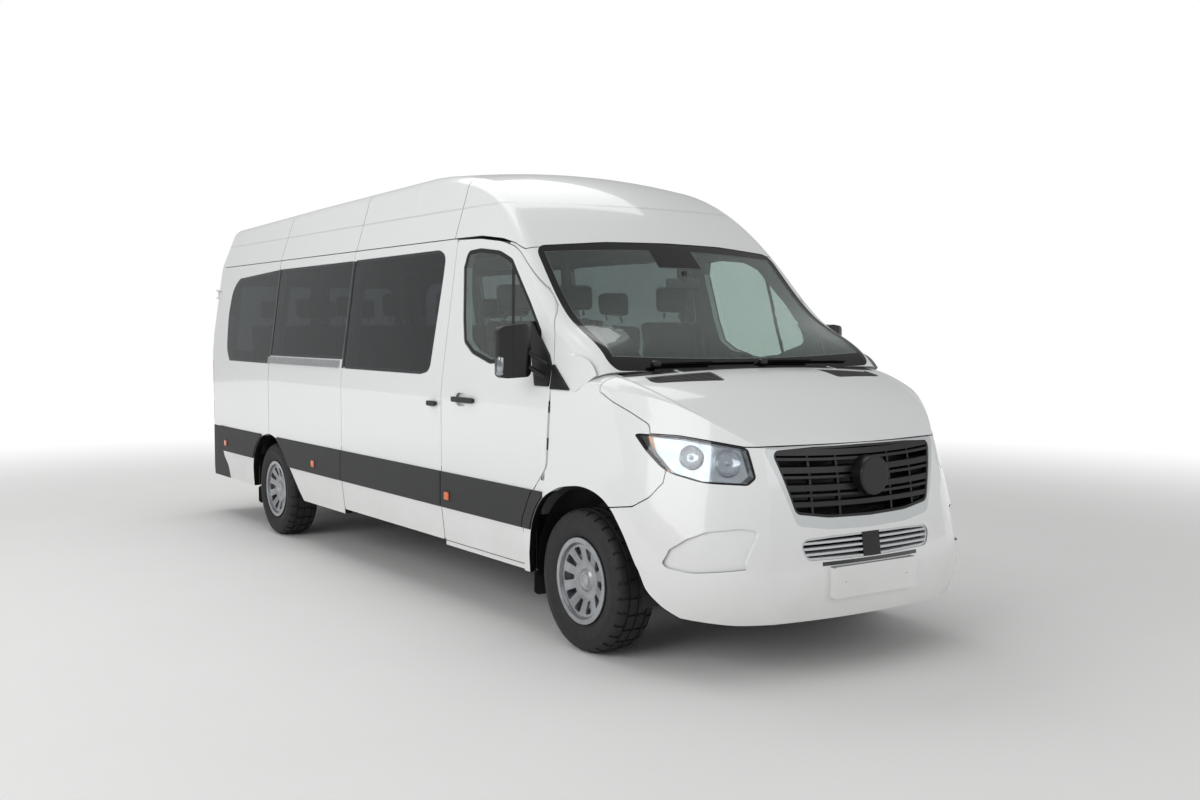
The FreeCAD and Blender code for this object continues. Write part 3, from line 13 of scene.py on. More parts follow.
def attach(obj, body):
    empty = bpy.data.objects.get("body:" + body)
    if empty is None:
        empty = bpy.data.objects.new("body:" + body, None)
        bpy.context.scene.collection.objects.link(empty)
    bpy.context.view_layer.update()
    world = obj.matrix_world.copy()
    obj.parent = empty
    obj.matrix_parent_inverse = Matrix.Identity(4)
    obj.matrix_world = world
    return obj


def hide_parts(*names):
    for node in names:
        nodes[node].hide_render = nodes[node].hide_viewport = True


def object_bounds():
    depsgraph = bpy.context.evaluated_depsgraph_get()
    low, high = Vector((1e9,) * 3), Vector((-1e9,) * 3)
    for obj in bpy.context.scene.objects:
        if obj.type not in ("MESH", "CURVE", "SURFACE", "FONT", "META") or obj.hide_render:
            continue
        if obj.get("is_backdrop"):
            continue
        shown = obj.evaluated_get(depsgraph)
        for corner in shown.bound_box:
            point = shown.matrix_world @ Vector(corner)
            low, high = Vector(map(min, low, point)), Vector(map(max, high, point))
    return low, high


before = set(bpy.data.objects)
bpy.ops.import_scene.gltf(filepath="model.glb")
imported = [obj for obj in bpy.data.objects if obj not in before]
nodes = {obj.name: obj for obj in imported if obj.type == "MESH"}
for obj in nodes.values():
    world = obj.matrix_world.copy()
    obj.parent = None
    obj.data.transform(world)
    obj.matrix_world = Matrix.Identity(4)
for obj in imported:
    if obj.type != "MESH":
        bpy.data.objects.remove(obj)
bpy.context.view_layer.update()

# %% [markdown]
# ## The camera
# A product picture is easiest to compare when the camera stands where the photographer stood: a little
# above the door handles, ahead of the front right corner. Location and direction were solved from points
# that can be recognised on the vehicle, so they are written here as plain numbers.

# %% Camera
EYE = Vector((7.564, -4.334, 1.609))
LOOK = Vector((-0.8261, 0.5605, -0.0575))
lens = bpy.data.cameras.new("camera")
lens.lens = 37.65
lens.sensor_width = 36.0
camera = bpy.data.objects.new("camera", lens)
bpy.context.scene.collection.objects.link(camera)
camera.location = EYE
camera.rotation_mode = "QUATERNION"
camera.rotation_quaternion = LOOK.to_track_quat("-Z", "Y")
bpy.context.scene.camera = camera
print("camera at", tuple(EYE), "lens", lens.lens)

# %% [markdown]
# ## Tools for finishes
# Colours are written the way a paint chart gives them, as sRGB hex, and turned to linear light by one
# function. One more function adds a node, sets it and links it, so that a finish reads as a short list.

# %% Colour and node tools
def linear(hex_colour):
    """An sRGB hex colour in linear light."""
    values = [int(hex_colour[i:i + 2], 16) / 255 for i in (0, 2, 4)]
    return tuple(v / 12.92 if v <= 0.04045 else ((v + 0.055) / 1.055) ** 2.4 for v in values) + (1.0,)


def add(tree, kind, inputs=None, **settings):
    """Add a node, set its settings, and link or set each of its inputs."""
    made = tree.nodes.new(kind)
    for key, value in settings.items():
        setattr(made, key, value)
    for key, value in (inputs or {}).items():
        if isinstance(value, bpy.types.NodeSocket):
            tree.links.new(value, made.inputs[key])
        else:
            made.inputs[key].default_value = value
    return made


# A mix node has its two colours in these inputs and the mixed colour in this output
A, B, MIXED = 6, 7, 2


def finish_named(name, **sockets):
    """A new material whose one shader has these plain socket values; returns its tree and shader too."""
    material = bpy.data.materials.new(name)
    material.use_nodes = True
    tree = material.node_tree
    shader = tree.nodes["Principled BSDF"]
    for key, value in sockets.items():
        shader.inputs[key.replace("_", " ")].default_value = value
    return material, tree, shader


def place_of(tree):
    """The point being shaded, in the piece's own metres."""
    return add(tree, "ShaderNodeTexCoord").outputs["Object"]


MM = 0.001


def per_mm(size):
    """Texture scale at which one cell of a pattern is this many millimetres wide."""
    return 1.0 / (size * MM)


print("one mm grain has scale", per_mm(1.0))

# %% [markdown]
# ## Body paint
# The panels are pressed steel under a solid white two-pack enamel. Enamel has a soft white base and a clear,
# wet-looking top with a faint orange peel. Road dust clings low down, so the white greys towards the sill.

# %% White enamel
DUST_HEAD, DUST_FOOT = 0.95, 0.3

white_enamel, tree, shader = finish_named("white_two_pack_enamel", Coat_Roughness=0.05)
place = place_of(tree)
at = add(tree, "ShaderNodeSeparateXYZ", {"Vector": place})
facing = add(tree, "ShaderNodeSeparateXYZ", {"Vector": add(tree, "ShaderNodeTexCoord").outputs["Normal"]})
peel = add(tree, "ShaderNodeTexNoise", {"Vector": place, "Scale": per_mm(9), "Detail": 2.0})
cloud = add(tree, "ShaderNodeTexNoise",
            {"Vector": place, "Scale": per_mm(420), "Detail": 5.0, "Roughness": 0.6})
low_down = add(tree, "ShaderNodeMapRange",
               {"Value": at.outputs["Z"], "From Min": DUST_HEAD, "From Max": DUST_FOOT, "To Max": 0.55})
dust = add(tree, "ShaderNodeMath", {0: low_down.outputs[0], 1: cloud.outputs["Fac"]}, operation="MULTIPLY")
enamel = add(tree, "ShaderNodeMix",
             {"Factor": dust.outputs[0], A: linear("F0F2F2"), B: linear("CBC8C0")}, data_type="RGBA")
print("dusty below", DUST_HEAD, "m")

# %% [markdown]
# Some of a panel's look follows its place, so masks draw it: a mask is one where it holds and nought
# elsewhere. Three thin lines are the joints of the body and roof skins. The two posts between the windows
# are black.

# %% Joints and window posts
# All in metres, as the shader sees them
JOINT_HALF = 0.0028
BODY_JOINT_X = -1.945
ROOF_JOINTS_X = (-0.486, 0.956)
ROOF_FOOT_Z = 2.129
GLASS_MIDDLE_Z, GLASS_HALF = 1.698, 0.364
# Columns: x of the post, half its width
POSTS = ((-1.945, 0.018), (-0.493, 0.020))

on_roof = add(tree, "ShaderNodeMath", {0: at.outputs["Z"], 1: ROOF_FOOT_Z}, operation="GREATER_THAN")
by_glass = add(tree, "ShaderNodeMath",
               {0: at.outputs["Z"], 1: GLASS_MIDDLE_Z, 2: GLASS_HALF}, operation="COMPARE")
dark = add(tree, "ShaderNodeMath", {0: at.outputs["X"], 1: BODY_JOINT_X, 2: JOINT_HALF}, operation="COMPARE")
# Columns: x of the line, half its width, the mask of the heights at which it shows
LINES = [(x, JOINT_HALF, on_roof) for x in ROOF_JOINTS_X] + [(x, half, by_glass) for x, half in POSTS]
for x, half, heights in LINES:
    band = add(tree, "ShaderNodeMath", {0: at.outputs["X"], 1: x, 2: half}, operation="COMPARE")
    line = add(tree, "ShaderNodeMath", {0: band.outputs[0], 1: heights.outputs[0]}, operation="MULTIPLY")
    dark = add(tree, "ShaderNodeMath", {0: dark.outputs[0], 1: line.outputs[0]}, operation="MAXIMUM")
print("dark lines", 1 + len(LINES))

# %% [markdown]
# A black rubber strip lies on the bumper under the intake. The faces behind each wheel and the low faces
# inboard of the skin are painted black as painted shade, where the wheel arches and the sill lie in shade.
# Each of the three patches is several masks multiplied.

# %% Rubber strip and painted shade in the arches
STRIP_Z, STRIP_HALF, STRIP_REACH, NOSE_X = 0.5315, 0.009, 0.31, 3.3
# Below this height and behind this x, faces in the wheel arches get painted shade: plain black
ARCH_SHADE_Z, ARCH_SHADE_X = 0.8, 2.2
SILL_Z, SKIN_Y = 0.62, 0.965
# How far a face has to look ahead or outwards to count
TURNED_AHEAD, TURNED_OUT = 0.3, 0.02

aside = add(tree, "ShaderNodeMath", {0: at.outputs["Y"]}, operation="ABSOLUTE")
sideways = add(tree, "ShaderNodeMath", {0: at.outputs["Y"], 1: facing.outputs["Y"]}, operation="MULTIPLY")
strip = add(tree, "ShaderNodeMath", {0: at.outputs["Z"], 1: STRIP_Z, 2: STRIP_HALF}, operation="COMPARE")
central = add(tree, "ShaderNodeMath", {0: aside.outputs[0], 1: 0.0, 2: STRIP_REACH}, operation="COMPARE")
on_nose = add(tree, "ShaderNodeMath", {0: at.outputs["X"], 1: NOSE_X}, operation="GREATER_THAN")
low = add(tree, "ShaderNodeMath", {0: at.outputs["Z"], 1: ARCH_SHADE_Z}, operation="LESS_THAN")
behind = add(tree, "ShaderNodeMath", {0: at.outputs["X"], 1: ARCH_SHADE_X}, operation="LESS_THAN")
ahead = add(tree, "ShaderNodeMath", {0: facing.outputs["X"], 1: TURNED_AHEAD}, operation="GREATER_THAN")
outer = add(tree, "ShaderNodeMath", {0: sideways.outputs[0], 1: TURNED_OUT}, operation="GREATER_THAN")
inboard = add(tree, "ShaderNodeMath", {0: aside.outputs[0], 1: SKIN_Y}, operation="LESS_THAN")
below = add(tree, "ShaderNodeMath", {0: at.outputs["Z"], 1: SILL_Z}, operation="LESS_THAN")
# The first two patches are painted shade in the wheel arches and under the sill; the third is the real rubber
# strip
PATCHES = ((ahead, low, behind), (inboard, outer, below, behind), (strip, central, on_nose))
for patch, *others in PATCHES:
    for mask in others:
        patch = add(tree, "ShaderNodeMath", {0: patch.outputs[0], 1: mask.outputs[0]}, operation="MULTIPLY")
    dark = add(tree, "ShaderNodeMath", {0: dark.outputs[0], 1: patch.outputs[0]}, operation="MAXIMUM")
print("black patches", len(PATCHES))

# %% [markdown]
# A face that looks towards the cabin's middle is an inner one and wears grey trim felt, which neither shines
# nor has a clear coat.

# %% Inner felt
CABIN_MIDDLE_Z = 0.9
FELT_FROM, FELT_FULL = -0.05, -0.08

over = add(tree, "ShaderNodeMath", {0: at.outputs["Z"], 1: CABIN_MIDDLE_Z}, operation="SUBTRACT")
outward = add(tree, "ShaderNodeMath",
              {0: over.outputs[0], 1: facing.outputs["Z"], 2: sideways.outputs[0]}, operation="MULTIPLY_ADD")
felt = add(tree, "ShaderNodeMapRange",
           {"Value": outward.outputs[0], "From Min": FELT_FROM, "From Max": FELT_FULL})
dull = add(tree, "ShaderNodeMapRange", {"Value": felt.outputs[0], "To Min": 0.3, "To Max": 0.9})
coat = add(tree, "ShaderNodeMapRange", {"Value": felt.outputs[0], "To Min": 0.8, "To Max": 0.0})
tree.links.new(dull.outputs[0], shader.inputs["Roughness"])
tree.links.new(coat.outputs[0], shader.inputs["Coat Weight"])
print("felt inside, middle at", CABIN_MIDDLE_Z, "m")

# %% [markdown]
# Last the roof's step: a soft fold along its flank, made by a bump that fades out over sixteen millimetres.
# The orange peel rides on top of it.

# %% Put the enamel together
STEP_LOW, STEP_HIGH = 2.300, 2.316

trimmed = add(tree, "ShaderNodeMix",
              {"Factor": felt.outputs[0], A: enamel.outputs[MIXED], B: linear("8F9295")}, data_type="RGBA")
# Black over the joints, the posts and the strip, and as painted shade in the arches
paint = add(tree, "ShaderNodeMix",
            {"Factor": dark.outputs[0], A: trimmed.outputs[MIXED], B: linear("111213")}, data_type="RGBA")
step = add(tree, "ShaderNodeMapRange",
           {"Value": at.outputs["Z"], "From Min": STEP_LOW, "From Max": STEP_HIGH,
            "To Min": 1.0, "To Max": 0.0},
           interpolation_type="SMOOTHSTEP")
fold = add(tree, "ShaderNodeBump", {"Height": step.outputs[0], "Strength": 0.8, "Distance": 0.012})
bump = add(tree, "ShaderNodeBump",
           {"Height": peel.outputs["Fac"], "Strength": 0.03, "Distance": 0.001,
            "Normal": fold.outputs["Normal"]})
tree.links.new(paint.outputs[MIXED], shader.inputs["Base Color"])
tree.links.new(bump.outputs["Normal"], shader.inputs["Normal"])
print("made", white_enamel.name)

# %% [markdown]
# ## Moulded plastics
# The side bands and the rear bumper are polypropylene moulded against an etched tool, which leaves a fine
# grain and a dull sheen. The grain is half a millimetre in life, drawn at two so that it shows from the kerb.

# %% Grained polypropylene, ABS and polyethylene
def moulded(name, low, high, grain_mm, roughness, depth):
    """A moulded plastic between two tones, with an etched grain this wide and deep."""
    material, tree, shader = finish_named(name, Roughness=roughness)
    place = place_of(tree)
    grain = add(tree, "ShaderNodeTexVoronoi", {"Vector": place, "Scale": per_mm(grain_mm)}, feature="F1")
    wear = add(tree, "ShaderNodeTexNoise", {"Vector": place, "Scale": per_mm(160), "Detail": 6.0})
    tone = add(tree, "ShaderNodeMix",
               {"Factor": wear.outputs["Fac"], A: linear(low), B: linear(high)}, data_type="RGBA")
    bump = add(tree, "ShaderNodeBump",
               {"Height": grain.outputs["Distance"], "Strength": depth, "Distance": 0.001})
    tree.links.new(tone.outputs[MIXED], shader.inputs["Base Color"])
    tree.links.new(bump.outputs["Normal"], shader.inputs["Normal"])
    return material


# Side bands and rear bumper, then mirror shells and grille, then the dashboard, then the fuel tank
band_plastic = moulded("grained_polypropylene", "262729", "2F3032", 2.0, 0.55, 0.35)
black_abs = moulded("black_moulded_abs", "0B0B0D", "141517", 1.5, 0.38, 0.12)
dash_plastic = moulded("soft_grained_dashboard_skin", "26272A", "303236", 2.5, 0.6, 0.4)
tank_plastic = moulded("blow_moulded_polyethylene", "121214", "1B1B1D", 6.0, 0.5, 0.2)
print("made the moulded plastics")

# %% [markdown]
# The grille's surround and the lower intake are painted silver. A black plate fills the intake's middle,
# where the distance sensor looks out.

# %% Silver surround with the black sensor plate
SENSOR_HALF, INTAKE_TOP_Z = 0.058, 0.66

silver_abs, tree, shader = finish_named("silver_painted_abs", Roughness=0.34, Metallic=0.2, Coat_Weight=0.4)
place = place_of(tree)
at = add(tree, "ShaderNodeSeparateXYZ", {"Vector": place})
flake = add(tree, "ShaderNodeTexVoronoi", {"Vector": place, "Scale": per_mm(3)})
silver = add(tree, "ShaderNodeMix",
             {"Factor": flake.outputs["Distance"], A: linear("CBCFD1"), B: linear("D8DBDD")},
             data_type="RGBA")
middle = add(tree, "ShaderNodeMath", {0: at.outputs["Y"], 1: 0.0, 2: SENSOR_HALF}, operation="COMPARE")
lower = add(tree, "ShaderNodeMath", {0: at.outputs["Z"], 1: INTAKE_TOP_Z}, operation="LESS_THAN")
plate = add(tree, "ShaderNodeMath", {0: middle.outputs[0], 1: lower.outputs[0]}, operation="MULTIPLY")
tone = add(tree, "ShaderNodeMix",
           {"Factor": plate.outputs[0], A: silver.outputs[MIXED], B: linear("101113")}, data_type="RGBA")
tree.links.new(tone.outputs[MIXED], shader.inputs["Base Color"])
print("made", silver_abs.name)

# %% [markdown]
# ## Glass
# The rear windows are toughened glass dyed dark for privacy. The windscreen and front door panes are
# nearly clear, with the faint green of iron in the melt, and the screen has a black baked-on border.

# %% Privacy glass
privacy_glass, tree, shader = finish_named("dyed_privacy_glass", Roughness=0.01, IOR=1.45,
                                           Transmission_Weight=1.0, Specular_IOR_Level=0.3)
place = place_of(tree)
film = add(tree, "ShaderNodeTexNoise", {"Vector": place, "Scale": per_mm(300), "Detail": 3.0})
tone = add(tree, "ShaderNodeMix",
           {"Factor": film.outputs["Fac"], A: linear("5F676A"), B: linear("697174")}, data_type="RGBA")
tree.links.new(tone.outputs[MIXED], shader.inputs["Base Color"])
print("made", privacy_glass.name)

# %% [markdown]
# The pane of the front door sits in a black rubber seal, and a thin black post divides it. The seal is a
# mask: it holds outside the straight lines round the pane, and inside them to a depth of 24 mm.

# %% How far outside a loop of straight lines a point lies
def loop_reach(tree, across, up, corners):
    """Nodes that give metres outside a clockwise loop of corners (mm); inside it is negative."""
    reach = None
    for (a0, b0), (a1, b1) in zip(corners, corners[1:] + corners[:1]):
        length = math.hypot(a1 - a0, b1 - b0)
        normal = ((b0 - b1) / length, (a1 - a0) / length)
        offset = -(normal[0] * a0 + normal[1] * b0) * MM
        line = add(tree, "ShaderNodeMath", {0: across, 1: normal[0], 2: offset}, operation="MULTIPLY_ADD")
        line = add(tree, "ShaderNodeMath",
                   {0: up, 1: normal[1], 2: line.outputs[0]}, operation="MULTIPLY_ADD")
        if reach:
            line = add(tree, "ShaderNodeMath", {0: line.outputs[0], 1: reach.outputs[0]}, operation="MAXIMUM")
        reach = line
    return reach


print("loop tool ready")

# %% Front door glass with its seal
door_glass, tree, shader = finish_named("green_tint_toughened_glass", IOR=1.52)
place = place_of(tree)
at = add(tree, "ShaderNodeSeparateXYZ", {"Vector": place})
film = add(tree, "ShaderNodeTexNoise", {"Vector": place, "Scale": per_mm(300), "Detail": 3.0})
clear = add(tree, "ShaderNodeMix",
            {"Factor": film.outputs["Fac"], A: linear("BCCBC6"), B: linear("C6D3CE")}, data_type="RGBA")
# Columns: x and z (mm) of the pane's corners, clockwise
PANE = ((1108, 1950), (1140, 2050), (1290, 2058), (1511, 2034), (1654, 1983), (1894, 1751), (2070, 1560),
        (2000, 1500), (1760, 1432), (1545, 1410), (1326, 1463), (1215, 1525), (1172, 1655))
SEAL = 0.024
# The post stands where x + POST_LEAN * z comes to POST_X, give or take its half width
POST_LEAN, POST_X, POST_HALF = 0.2086, 2.0775, 0.013
reach = loop_reach(tree, at.outputs["X"], at.outputs["Z"], PANE)
seal = add(tree, "ShaderNodeMath", {0: reach.outputs[0], 1: -SEAL}, operation="GREATER_THAN")
across = add(tree, "ShaderNodeMath",
             {0: at.outputs["Z"], 1: POST_LEAN, 2: at.outputs["X"]}, operation="MULTIPLY_ADD")
post = add(tree, "ShaderNodeMath", {0: across.outputs[0], 1: POST_X, 2: POST_HALF}, operation="COMPARE")
rubber = add(tree, "ShaderNodeMath", {0: seal.outputs[0], 1: post.outputs[0]}, operation="MAXIMUM")
tone = add(tree, "ShaderNodeMix",
           {"Factor": rubber.outputs[0], A: clear.outputs[MIXED], B: linear("0C0C0D")}, data_type="RGBA")
through = add(tree, "ShaderNodeMapRange", {"Value": rubber.outputs[0], "To Min": 1.0, "To Max": 0.0})
rough = add(tree, "ShaderNodeMapRange", {"Value": rubber.outputs[0], "To Min": 0.01, "To Max": 0.5})
tree.links.new(tone.outputs[MIXED], shader.inputs["Base Color"])
tree.links.new(through.outputs[0], shader.inputs["Transmission Weight"])
tree.links.new(rough.outputs[0], shader.inputs["Roughness"])
print("made", door_glass.name)

# %% [markdown]
# The border of the windscreen is ceramic ink fired onto the glass. Here it is one material with a mask: the
# pane's own place tells how far a point is from the sides, the foot and the head of the screen. A patch of
# ink hangs from the middle of the head, above the inner mirror.

# %% Windscreen with its fired border
# In metres: where each edge of the ink runs, how the sides lean, how the foot and the head bow
SIDE_LINE, SIDE_LEAN = 0.964, 0.0862
FOOT_LINE, FOOT_BOW = 1.450, -0.03
HEAD_LINE, HEAD_BOW = 2.040, 0.04
PATCH_HALF, PATCH_FOOT = 0.150, 1.940
SOFT = 0.002

screen_glass, tree, shader = finish_named("laminated_windscreen_glass", IOR=1.52)
place = place_of(tree)
axis = add(tree, "ShaderNodeSeparateXYZ", {"Vector": place})
across = add(tree, "ShaderNodeMath", {0: axis.outputs["Y"]}, operation="ABSOLUTE")
lean = add(tree, "ShaderNodeMath",
           {0: axis.outputs["Z"], 1: SIDE_LEAN, 2: across.outputs[0]}, operation="MULTIPLY_ADD")
side_ink = add(tree, "ShaderNodeMapRange",
               {"Value": lean.outputs[0], "From Min": SIDE_LINE - SOFT, "From Max": SIDE_LINE + SOFT})
crown = add(tree, "ShaderNodeMath", {0: across.outputs[0], 1: across.outputs[0]}, operation="MULTIPLY")
low_line = add(tree, "ShaderNodeMath",
               {0: crown.outputs[0], 1: FOOT_BOW, 2: axis.outputs["Z"]}, operation="MULTIPLY_ADD")
low_ink = add(tree, "ShaderNodeMapRange",
              {"Value": low_line.outputs[0], "From Min": FOOT_LINE + SOFT, "From Max": FOOT_LINE - SOFT})
top_line = add(tree, "ShaderNodeMath",
               {0: crown.outputs[0], 1: HEAD_BOW, 2: axis.outputs["Z"]}, operation="MULTIPLY_ADD")
top_ink = add(tree, "ShaderNodeMapRange",
              {"Value": top_line.outputs[0], "From Min": HEAD_LINE - SOFT, "From Max": HEAD_LINE + SOFT})
patch_side = add(tree, "ShaderNodeMapRange",
                 {"Value": across.outputs[0], "From Min": PATCH_HALF + SOFT, "From Max": PATCH_HALF - SOFT})
patch_low = add(tree, "ShaderNodeMapRange",
                {"Value": axis.outputs["Z"], "From Min": PATCH_FOOT - SOFT, "From Max": PATCH_FOOT + SOFT})
patch = add(tree, "ShaderNodeMath",
            {0: patch_side.outputs[0], 1: patch_low.outputs[0]}, operation="MULTIPLY")
ink = side_ink
for mask in (low_ink, top_ink, patch):
    ink = add(tree, "ShaderNodeMath", {0: ink.outputs[0], 1: mask.outputs[0]}, operation="MAXIMUM")
tone = add(tree, "ShaderNodeMix",
           {"Factor": ink.outputs[0], A: linear("C2D2CC"), B: linear("08090A")}, data_type="RGBA")
through = add(tree, "ShaderNodeMapRange", {"Value": ink.outputs[0], "To Min": 1.0, "To Max": 0.0})
rough = add(tree, "ShaderNodeMapRange", {"Value": ink.outputs[0], "To Min": 0.01, "To Max": 0.08})
tree.links.new(tone.outputs[MIXED], shader.inputs["Base Color"])
tree.links.new(through.outputs[0], shader.inputs["Transmission Weight"])
tree.links.new(rough.outputs[0], shader.inputs["Roughness"])
print("made", screen_glass.name)

# %% [markdown]
# ## Lamps
# A headlamp lens is clear polycarbonate over a metallised bowl. A tail lamp is one moulded acrylic cover with
# a red, a clear, an amber and again a red field, one above another, and fine prisms inside.

# %% Headlamp lens and bowl
# Columns: y and z (mm) of the lens's corners, clockwise
LENS = ((908, 1040), (880, 948), (790, 908), (640, 900), (604, 932), (614, 1064), (820, 1112), (924, 1118))
# Width of the black rim on the lens's edge: painted shade of the gap round the lens
LENS_GAP_SHADE = 0.008
AMBER_Y, AMBER_HALF = 0.885, 0.022

# Clear polycarbonate; a black rim along its edge is painted shade, the shade in the gap round the lens
lens_clear, tree, shader = finish_named("clear_polycarbonate_lens", Roughness=0.02, IOR=1.58)
place = place_of(tree)
mottle_noise = add(tree, "ShaderNodeTexNoise", {"Vector": place, "Scale": per_mm(120), "Detail": 4.0})
clear = add(tree, "ShaderNodeMix",
            {"Factor": mottle_noise.outputs["Fac"], A: linear("F2F5F7"), B: linear("E9EEF2")}, data_type="RGBA")
at = add(tree, "ShaderNodeSeparateXYZ", {"Vector": place})
aside = add(tree, "ShaderNodeMath", {0: at.outputs["Y"]}, operation="ABSOLUTE")
reach = loop_reach(tree, aside.outputs[0], at.outputs["Z"], LENS)
# Painted shade: the lens turns black and opaque within this width of its edge
lens_gap_shade = add(tree, "ShaderNodeMath", {0: reach.outputs[0], 1: -LENS_GAP_SHADE}, operation="GREATER_THAN")
tone = add(tree, "ShaderNodeMix",
           {"Factor": lens_gap_shade.outputs[0], A: clear.outputs[MIXED], B: linear("0B0B0C")}, data_type="RGBA")
through = add(tree, "ShaderNodeMapRange", {"Value": lens_gap_shade.outputs[0], "To Min": 1.0, "To Max": 0.0})
tree.links.new(tone.outputs[MIXED], shader.inputs["Base Color"])
tree.links.new(through.outputs[0], shader.inputs["Transmission Weight"])

# Aluminium vapour on plastic, dyed amber in the outer corner; its mottling of dark and bright silver is
# painted shade and painted reflection
bright_bowl, tree, shader = finish_named("metallised_lamp_bowl", Metallic=0.9, Roughness=0.12)
place = place_of(tree)
# Painted shade and reflection: noise mixes a dark and a bright silver across the bowl
mottle_noise = add(tree, "ShaderNodeTexNoise", {"Vector": place, "Scale": per_mm(40), "Detail": 4.0})
painted_chrome_shading = add(tree, "ShaderNodeMix",
             {"Factor": mottle_noise.outputs["Fac"], A: linear("7E8489"), B: linear("B9BEC2")}, data_type="RGBA")
at = add(tree, "ShaderNodeSeparateXYZ", {"Vector": place})
aside = add(tree, "ShaderNodeMath", {0: at.outputs["Y"]}, operation="ABSOLUTE")
corner = add(tree, "ShaderNodeMath", {0: aside.outputs[0], 1: AMBER_Y, 2: AMBER_HALF}, operation="COMPARE")
tone = add(tree, "ShaderNodeMix",
           {"Factor": corner.outputs[0], A: painted_chrome_shading.outputs[MIXED], B: linear("8C5B22")}, data_type="RGBA")
tree.links.new(tone.outputs[MIXED], shader.inputs["Base Color"])
print("made", lens_clear.name, bright_bowl.name)

# %% Tail lamp cover
LAMP_FOOT_Z, LAMP_HEAD_Z = 0.82, 1.33
# Columns: share of the height at which a field begins, its colour
FIELDS = ((0.0, "B3121A"), (0.30, "D8D5D2"), (0.44, "D9731A"), (0.62, "B3121A"))

tail_acrylic, tree, shader = finish_named("red_and_amber_acrylic", Roughness=0.06, IOR=1.49, Coat_Weight=0.6)
place = place_of(tree)
height = add(tree, "ShaderNodeSeparateXYZ", {"Vector": place})
step = add(tree, "ShaderNodeMapRange",
           {"Value": height.outputs["Z"], "From Min": LAMP_FOOT_Z, "From Max": LAMP_HEAD_Z})
fields = add(tree, "ShaderNodeValToRGB", {"Fac": step.outputs[0]})
fields.color_ramp.interpolation = "CONSTANT"
fields.color_ramp.elements.remove(fields.color_ramp.elements[1])
fields.color_ramp.elements[0].color = linear(FIELDS[0][1])
for start, colour in FIELDS[1:]:
    fields.color_ramp.elements.new(start).color = linear(colour)
prism = add(tree, "ShaderNodeTexWave",
            {"Vector": place, "Scale": per_mm(26), "Distortion": 0.0}, bands_direction="Z")
bump = add(tree, "ShaderNodeBump", {"Height": prism.outputs["Fac"], "Strength": 0.25, "Distance": 0.001})
tree.links.new(fields.outputs["Color"], shader.inputs["Base Color"])
tree.links.new(bump.outputs["Normal"], shader.inputs["Normal"])
print("made", tail_acrylic.name)

# %% [markdown]
# ## Metals, rubber and floor
# Under the floor everything is painted black or left as cast or rolled, and gets dusty. The tyres are carbon
# black rubber that greys a little with age. The wheels carry silver paint, spotted with brake dust.

# %% Painted and bare metal
def weathered(name, clean, dirty, spot_mm, roughness, metallic, depth):
    """A surface whose clean tone gives way to a dirty one in spots of this size."""
    material, tree, shader = finish_named(name, Roughness=roughness, Metallic=metallic)
    place = place_of(tree)
    spots = add(tree, "ShaderNodeTexNoise",
                {"Vector": place, "Scale": per_mm(spot_mm), "Detail": 8.0, "Roughness": 0.65})
    edge = add(tree, "ShaderNodeMapRange",
               {"Value": spots.outputs["Fac"], "From Min": 0.42, "From Max": 0.68})
    tone = add(tree, "ShaderNodeMix",
               {"Factor": edge.outputs[0], A: linear(clean), B: linear(dirty)}, data_type="RGBA")
    bump = add(tree, "ShaderNodeBump", {"Height": spots.outputs["Fac"], "Strength": depth, "Distance": 0.002})
    tree.links.new(tone.outputs[MIXED], shader.inputs["Base Color"])
    tree.links.new(bump.outputs["Normal"], shader.inputs["Normal"])
    return material


# Frame rails and seat legs, castings, exhaust, then the inside of the cabin's shell
chassis_paint = weathered("black_wax_coated_steel", "17171A", "2E2B28", 60, 0.5, 0.0, 0.15)
cast_metal = weathered("raw_cast_iron", "4A4A4C", "3A3632", 20, 0.6, 0.6, 0.4)
pipe_steel = weathered("rolled_stainless_steel", "85827D", "6B5F52", 45, 0.38, 0.8, 0.1)
inner_paint = weathered("thin_inner_body_paint", "A2A4A5", "989A9B", 150, 0.5, 0.0, 0.05)
# Side rails and hubcap centres, wheels, mud flaps, tyres, the steering wheel, the cabin's floor
satin_rail = weathered("satin_anodised_aluminium", "C4C7C9", "B6B9BB", 35, 0.3, 0.85, 0.04)
wheel_silver = weathered("silver_wheel_paint", "B0B3B6", "989A9D", 90, 0.28, 0.75, 0.04)
flap_rubber = weathered("pressed_black_rubber", "141415", "222120", 30, 0.75, 0.0, 0.25)
tyre_rubber = weathered("carbon_black_tyre_rubber", "1F1F21", "292929", 25, 0.66, 0.0, 0.1)
wheel_foam = weathered("foamed_grip_skin", "17181A", "1F2022", 8, 0.6, 0.0, 0.3)
floor_vinyl = weathered("speckled_floor_vinyl", "4A4C50", "5A5D61", 5, 0.6, 0.0, 0.12)
print("made the weathered finishes")

# %% [markdown]
# Below the floor the inner shell carries black underseal over its paint. The glass of the mirrors is silvered
# on its back and shows a faint haze.

# %% Underseal and mirror glass
FLOOR_Z = 0.63

